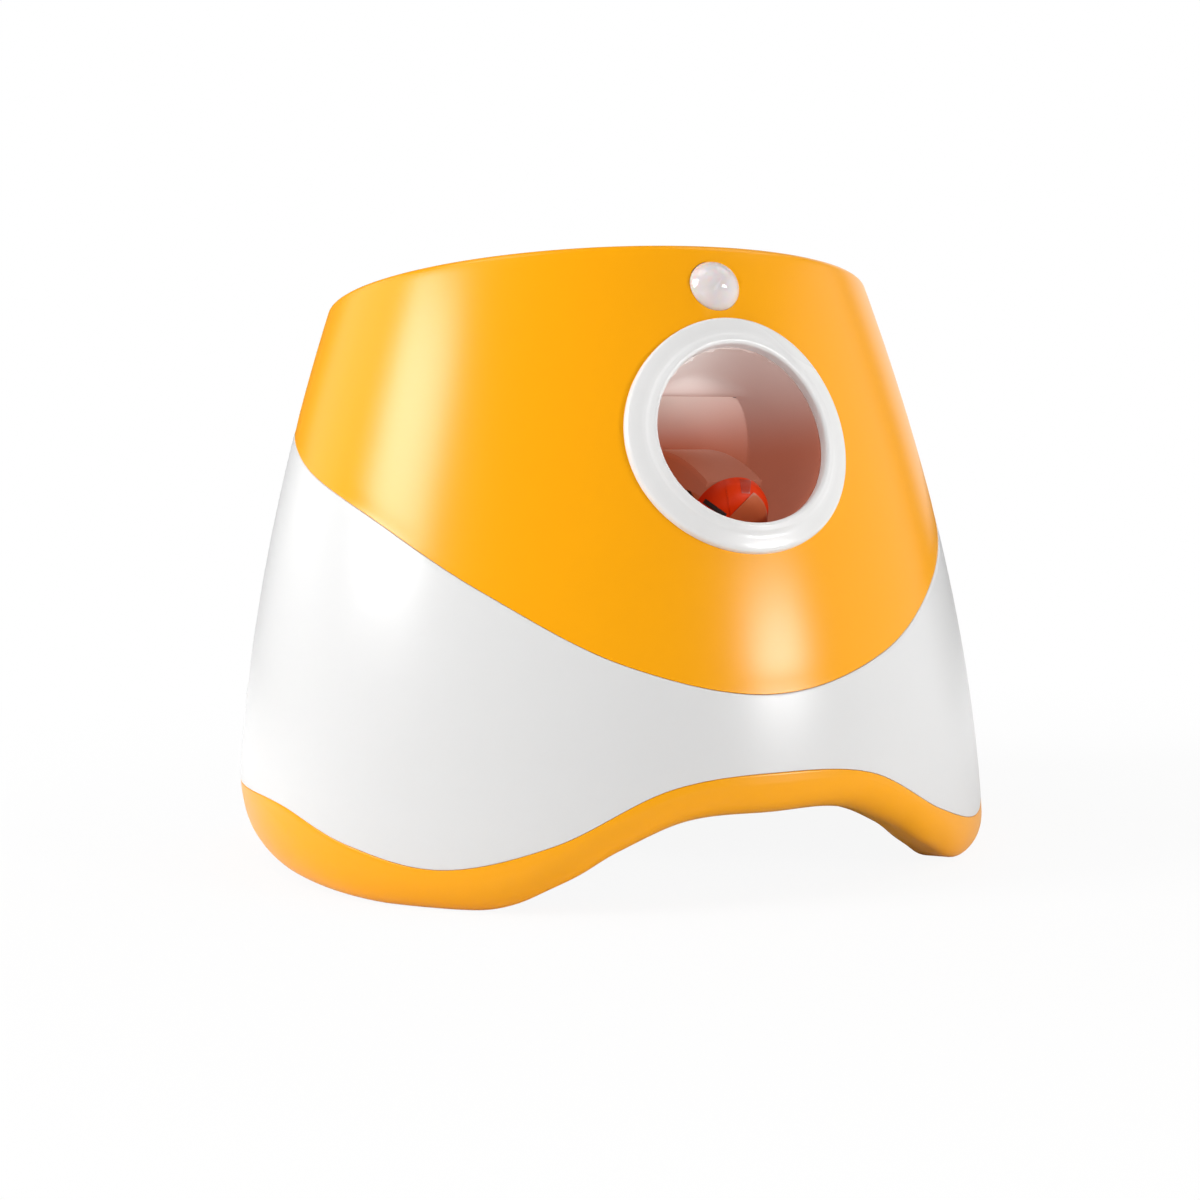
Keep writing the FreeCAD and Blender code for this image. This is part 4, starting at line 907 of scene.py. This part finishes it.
def striker():
    place = striker_place()
    stem = box((-5, -5.75, 0), (5, 6.25, arm_length - 6))
    for vertex in stem.verts:
        if vertex.co.z > 10:
            vertex.co.y = 4.5 if vertex.co.y > 0 else -3.5
    sides = [f for f in stem.faces if abs(f.normal.x) > 0.9]
    bmesh.ops.inset_individual(stem, faces=sides, thickness=2.2, depth=-2.6, use_even_offset=True)
    bevel(stem, [e for e in stem.edges if e.calc_face_angle(0.0) > 0.5], 0.6, 3)
    bmesh.ops.transform(stem, matrix=place, verts=stem.verts)
    hub = turned([(3.01, -8.0), (7.7, -8.0), (8.3, -7.75), (8.5, -7.2), (8.5, 7.2), (8.3, 7.75), (7.7, 8.0),
                  (3.01, 8.0), (3.01, -8.0)], 64, place @ Matrix.Rotation(math.pi / 2, 4, "Y"))
    side = [(0, -paddle_thick), (paddle_radius - 0.5, -paddle_thick), (paddle_radius, 0.5 - paddle_thick)]
    side += arc((paddle_radius - head_round, -head_round), head_round, 0, 90, 14) + [(0, 0)]
    head = turned(side, 96, face_place())
    raised = head_patch(between([(-2.2, -1.0), (-0.6, 5.8), (0.2, 10.1), (-3.6, 10.1)]), 10, 16, 0.14)
    settle("striker_arm_red", join(stem, hub, head, raised), "striker_red", "striker",
           stands_for=["striker_arm"])

    def in_wedge(s, t):
        """From the wedge's tip at t = 0 to its round edge at t = 1."""
        a = math.radians(wedge_first + (wedge_last - wedge_first) * s)
        way, aside = Vector((math.cos(a), math.sin(a))), wedge_centre - wedge_tip
        along = aside.dot(way)
        reach = along + math.sqrt(max(wedge_radius ** 2 - aside.length_squared + along ** 2, 0.0))
        return tuple(wedge_tip + way * reach * (0.03 + 0.97 * t))

    settle("paddle_insert", head_patch(in_wedge, 28, 14, 0.22), "paddle_brown", "striker")
    # a darker red patch on the head's face
    dark = head_patch(between([(1.2, 6.2), (3.5, 6.0), (4.0, 10.0), (0.7, 10.2)]), 6, 8, 0.1)
    settle("paddle_dark_patch", dark, "striker_dark", "striker")
    slot = head_patch(between([(-10.1, 3.7), (-4.1, -0.85), (-3.25, 0.25), (-9.25, 4.8)]), 12, 4, 0.12)
    settle("paddle_slot", slot, "rubber_black", "striker", stands_for=["striker_pad"])


def ball_gate():
    """The curved plate behind the head, with its rib; both are slices of discs round the pivot."""
    place = striker_place() @ Matrix(((0, 0, 1, 0), (1, 0, 0, 0), (0, 1, 0, 0), (0, 0, 0, 1)))
    last = 87.3
    plate = sector(42.3, last, 79.5, 81.5, -9.0, 9.0, place, 40)
    rib = sector(48.3, last, 69.5, 80.0, -1.5, 1.5, place, 40)
    settle("gate_plate", join(plate, rib), "gate_white", "striker", stands_for=["ball_gate"])


# ---- rear panel ----
def panel_outline(angle, inset):
    """The rounded rectangle of the panel's edge, moved in by inset."""
    a = math.radians(angle)
    way = Vector((math.cos(a), math.sin(a)))
    corner = max(panel_corner - inset, 0.5)

    def inside(reach):
        point = way * reach
        middle = core(*point, panel_width / 2 - inset, panel_tall / 2 - inset, corner)
        return (point - middle).length <= corner

    return way * last_inside(inside, 0.0, 100.0, 40)


def on_back(x, up, out):
    """A point at the back: x and up in the panel's plane, out from the casing's surface."""
    z = panel_height + up * math.cos(casing_slope(panel_height))
    radius = casing_radius(z) + out
    return Vector((-x, math.sqrt(radius ** 2 - x ** 2), z))


def tray_section(angle):
    flat = on_casing(180, panel_height)

    def rim(inset, out):
        x, y = panel_outline(angle, inset)
        return on_back(x, y, out)

    def level(inset, height):
        x, y = panel_outline(angle, inset)
        return flat @ Vector((x, y, height))

    return [level(0.15, panel_under), rim(0.15, -1.0), rim(0.25, -0.55), rim(0.5, -0.35), rim(1.2, -0.3),
            rim(1.7, -0.4), rim(1.95, -0.7), rim(2.05, -1.3), level(2.15, panel_floor + 1.0),
            level(2.4, panel_floor + 0.35), level(3.0, panel_floor)]


def control_panel():
    flat = on_casing(180, panel_height)
    mesh = bent_grid(240, tray_section, closed=False)
    close_up(mesh)
    collar = [(button_radius + r, z) for r, z in
              ((0.3, -1), (1.5, -1), (1.5, 0.35), (1.2, 0.6), (0.6, 0.6), (0.3, 0.35), (0.3, -1))]
    cuts = []
    for x in (-button_place, button_place):
        place = flat @ Matrix.Translation((x, 0, 0))
        cuts.append(("UNION", turned(collar, 64, place @ Matrix.Translation((0, 0, panel_floor)))))
        cuts.append(("DIFFERENCE", rod(button_radius + 0.16, -12, 4, place, 64)))
    for x in light_places:
        cuts.append(("DIFFERENCE", rod(1.62, -12, 4, flat @ Matrix.Translation((x, light_row, 0)), 32)))
    settle("panel_tray", carve(mesh, cuts), "panel_grey", stands_for=["control_panel"])
    for number, x in enumerate(light_places, 1):
        lamp = turned([(0, 0.55), (0.7, 0.45), (1.2, 0.2), (1.5, -0.2), (1.55, -1.8), (0, -1.8)], 32,
                      flat @ Matrix.Translation((x, light_row, panel_floor)))
        settle("status_light_%d" % number, lamp, "light_green" if x < 0 else "light_clear",
               stands_for=["status_lights"] if x < 0 else ())


def push_button(name, x, finish, body, symbol, stands_for):
    flat = on_casing(180, panel_height) @ Matrix.Translation((x, 0, button_top))
    cap = turned([(0, -0.35), (3.0, -0.25), (4.6, -0.05), (5.3, 0.0), (5.75, -0.15), (5.95, -0.6),
                  (5.95, -5.0), (7.4, -5.1), (7.4, -6.2), (0, -6.2)], 72, flat)
    settle(name, join(cap, *symbol(flat)), finish, body, stands_for=stands_for)


def power_symbol(flat):
    """A ring with a gap and an upright bar."""
    bar = rounded_block(0.6, 1.9, *symbol_depth, 0.25, 0.08, flat @ Matrix.Translation((0, 1.75, 0)))
    return [sector(128, 412, 1.55, 2.15, *symbol_depth, flat, 30), bar]


def distance_symbol(flat):
    """Three rising bars."""
    return [rounded_block(0.8, 1.2 + 1.0 * i, *symbol_depth, 0.3, 0.08,
                          flat @ Matrix.Translation((-1.6 + 1.6 * i, -0.9 + 0.5 * i, 0))) for i in range(3)]


def power_jack():
    flat = on_casing(180, jack_height)
    collar = turned([(3.0, 0.25), (4.9, 0.25), (5.3, 0.05), (5.45, -0.4), (5.45, -9.0), (3.0, -9.0),
                     (3.0, -0.2), (3.0, 0.25)], 64, flat)
    settle("jack_collar", collar, "black_plastic", stands_for=["power_jack"])
    floor_disc = turned([(0, -8.0), (3.1, -8.0), (3.1, -8.6), (0, -8.6)], 32, flat)
    settle("jack_floor", floor_disc, "black_plastic")
    pin = turned([(0, -2.2), (0.5, -2.3), (0.75, -2.7), (0.75, -8.2), (0, -8.2)], 24, flat)
    settle("jack_pin", pin, "steel")


# ---- feet ----
def foot_pads():
    """Strips of rubber under the rolled edge."""
    inner, outer = foot_inner, foot_inner + foot_width
    edge = 0.5
    line = [(inner, foot_thick), (inner, edge)] + arc((inner + edge, edge), edge, 180, 270, 4)[1:]
    line += arc((outer - edge, edge), edge, 270, 360, 4) + [(outer, foot_thick)]
    pads = []
    for angle in foot_angles:
        pad = bmesh.new()
        bmesh.ops.create_grid(pad, x_segments=24, y_segments=len(line) - 1, size=1)
        for vertex in pad.verts:
            r, z = line[round((vertex.co.y + 1) / 2 * (len(line) - 1))]
            vertex.co = polar(r, angle + foot_half * vertex.co.x, z)
        close_up(pad)
        pads.append(pad)
    settle("foot_strips", join(*pads), "rubber_grey", stands_for=["foot_pads"])


# ---- build ----
upper_shell()
waist_shell()
base_skirt()
hopper()
port_ring()
launch_tube()
sensor_dome()
striker()
ball_gate()
control_panel()
push_button("power_cap", -button_place, "button_orange", "power_key", power_symbol, ["power_button"])
push_button("distance_cap", button_place, "button_white", "distance_key", distance_symbol,
            ["distance_button"])
power_jack()
foot_pads()

# ---- camera ----
view = bpy.data.cameras.new("view")
view.lens = 51.01
view.sensor_width = 36.0
view.shift_x = -0.0045
stand = Matrix.Translation((-0.2293, -0.5462, 0.10866))
for degrees, axis in ((-22.775, "Z"), (90 - 2.565, "X"), (-1.261, "Z")):
    stand = stand @ Matrix.Rotation(math.radians(degrees), 4, axis)
camera = add_object("view", view)
camera.matrix_world = stand
bpy.context.scene.camera = camera


# ---- light ----
def panel_light(name, azimuth, elevation, distance, width, height, power):
    """A soft panel in a direction from the front, aimed at the body."""
    lamp = bpy.data.lights.new(name, "AREA")
    lamp.shape = "RECTANGLE"
    lamp.size, lamp.size_y, lamp.energy = width, height, power
    a, e = math.radians(azimuth), math.radians(elevation)
    way = Vector((math.sin(a) * math.cos(e), -math.cos(a) * math.cos(e), math.sin(e)))
    made = add_object(name, lamp)
    made.location = Vector((0, 0, 0.1)) + way * distance
    made.rotation_euler = way.to_track_quat("Z", "Y").to_euler()


panel_light("tall_box", -96, 26, 1.5, 0.62, 0.62, 18.4)
panel_light("left_high", -100, 62, 1.7, 0.9, 0.7, 4.5)
panel_light("left_rim", -140, 25, 1.6, 0.8, 1.0, 2.3)
panel_light("window", 29, 10.3, 1.6, 0.46, 0.16, 10.4)
panel_light("right_high", 75, 58, 1.7, 0.9, 0.9, 3.8)
panel_light("right_side", 76, 15, 1.6, 1.4, 1.1, 4.4)
panel_light("right_rim", 128, 22, 1.6, 0.8, 1.0, 2.5)

# ---- floor ----
# It fades to white away from the body. Its colour is a painted shadow, darker near the body, and it glows for
# diffuse rays, a painted bounce light on the body's lower part that is weaker near the body.
# Distances from the body's axis are in metres.
floor_mesh = bmesh.new()
bmesh.ops.create_grid(floor_mesh, x_segments=1, y_segments=1, size=8.0)
floor = add_object("floor", to_data("floor", floor_mesh))
floor_finish, ground, matt = blank_material("pale_floor")
far = node(ground, "ShaderNodeVectorMath", {0: space(ground, "Object")}, operation="LENGTH").outputs["Value"]
# painted shadow: the floor's own colour is darker near the body
feed(ground, matt, {"Roughness": 0.9, "Specular IOR Level": 0.1,
                    "Base Color": ramp(ground, far, 0.16, 0.4, 0.78, 0.9)})
rays = node(ground, "ShaderNodeLightPath").outputs
# painted bounce light: the floor glows for diffuse rays, less near the body
painted_bounce_glow = maths(ground, "MULTIPLY", ramp(ground, far, 0.16, 0.34, 0.02, 0.34), rays["Is Diffuse Ray"])
faded = ramp(ground, far, 0.22, 0.6, 0.92, 1.0)
share = ramp(ground, rays["Is Camera Ray"], 0.0, 1.0, painted_bounce_glow, faded, "LINEAR")
glow = node(ground, "ShaderNodeEmission").outputs["Emission"]
mixed = node(ground, "ShaderNodeMixShader", {"Fac": share, 1: matt.outputs["BSDF"], 2: glow})
feed(ground, ground.nodes["Material Output"], {"Surface": mixed.outputs["Shader"]})
floor.data.materials.append(floor_finish)

# ---- sky ----
# White to the camera, dimmer as a light, and in reflections bright behind the body and dark in front.
sky_diffuse = 0.285
sky_mirror = 0.06
world = bpy.data.worlds.new("studio")
bpy.context.scene.world = world
world.use_nodes = True
sky = world.node_tree
rays = node(sky, "ShaderNodeLightPath").outputs
mirrored = ramp(sky, split(sky, space(sky, "Generated"))["Y"], 0.0, 0.9, 0.0, sky_mirror)
seen_by_gloss = maths(sky, "MAXIMUM", rays["Is Glossy Ray"], rays["Is Transmission Ray"])
indirect = mix(sky, "FLOAT", seen_by_gloss, sky_diffuse, mirrored)
feed(sky, sky.nodes["Background"], {"Strength": mix(sky, "FLOAT", rays["Is Camera Ray"], indirect, 1.0),
                                    "Color": pure})

bpy.context.scene.view_settings.view_transform = "Standard"
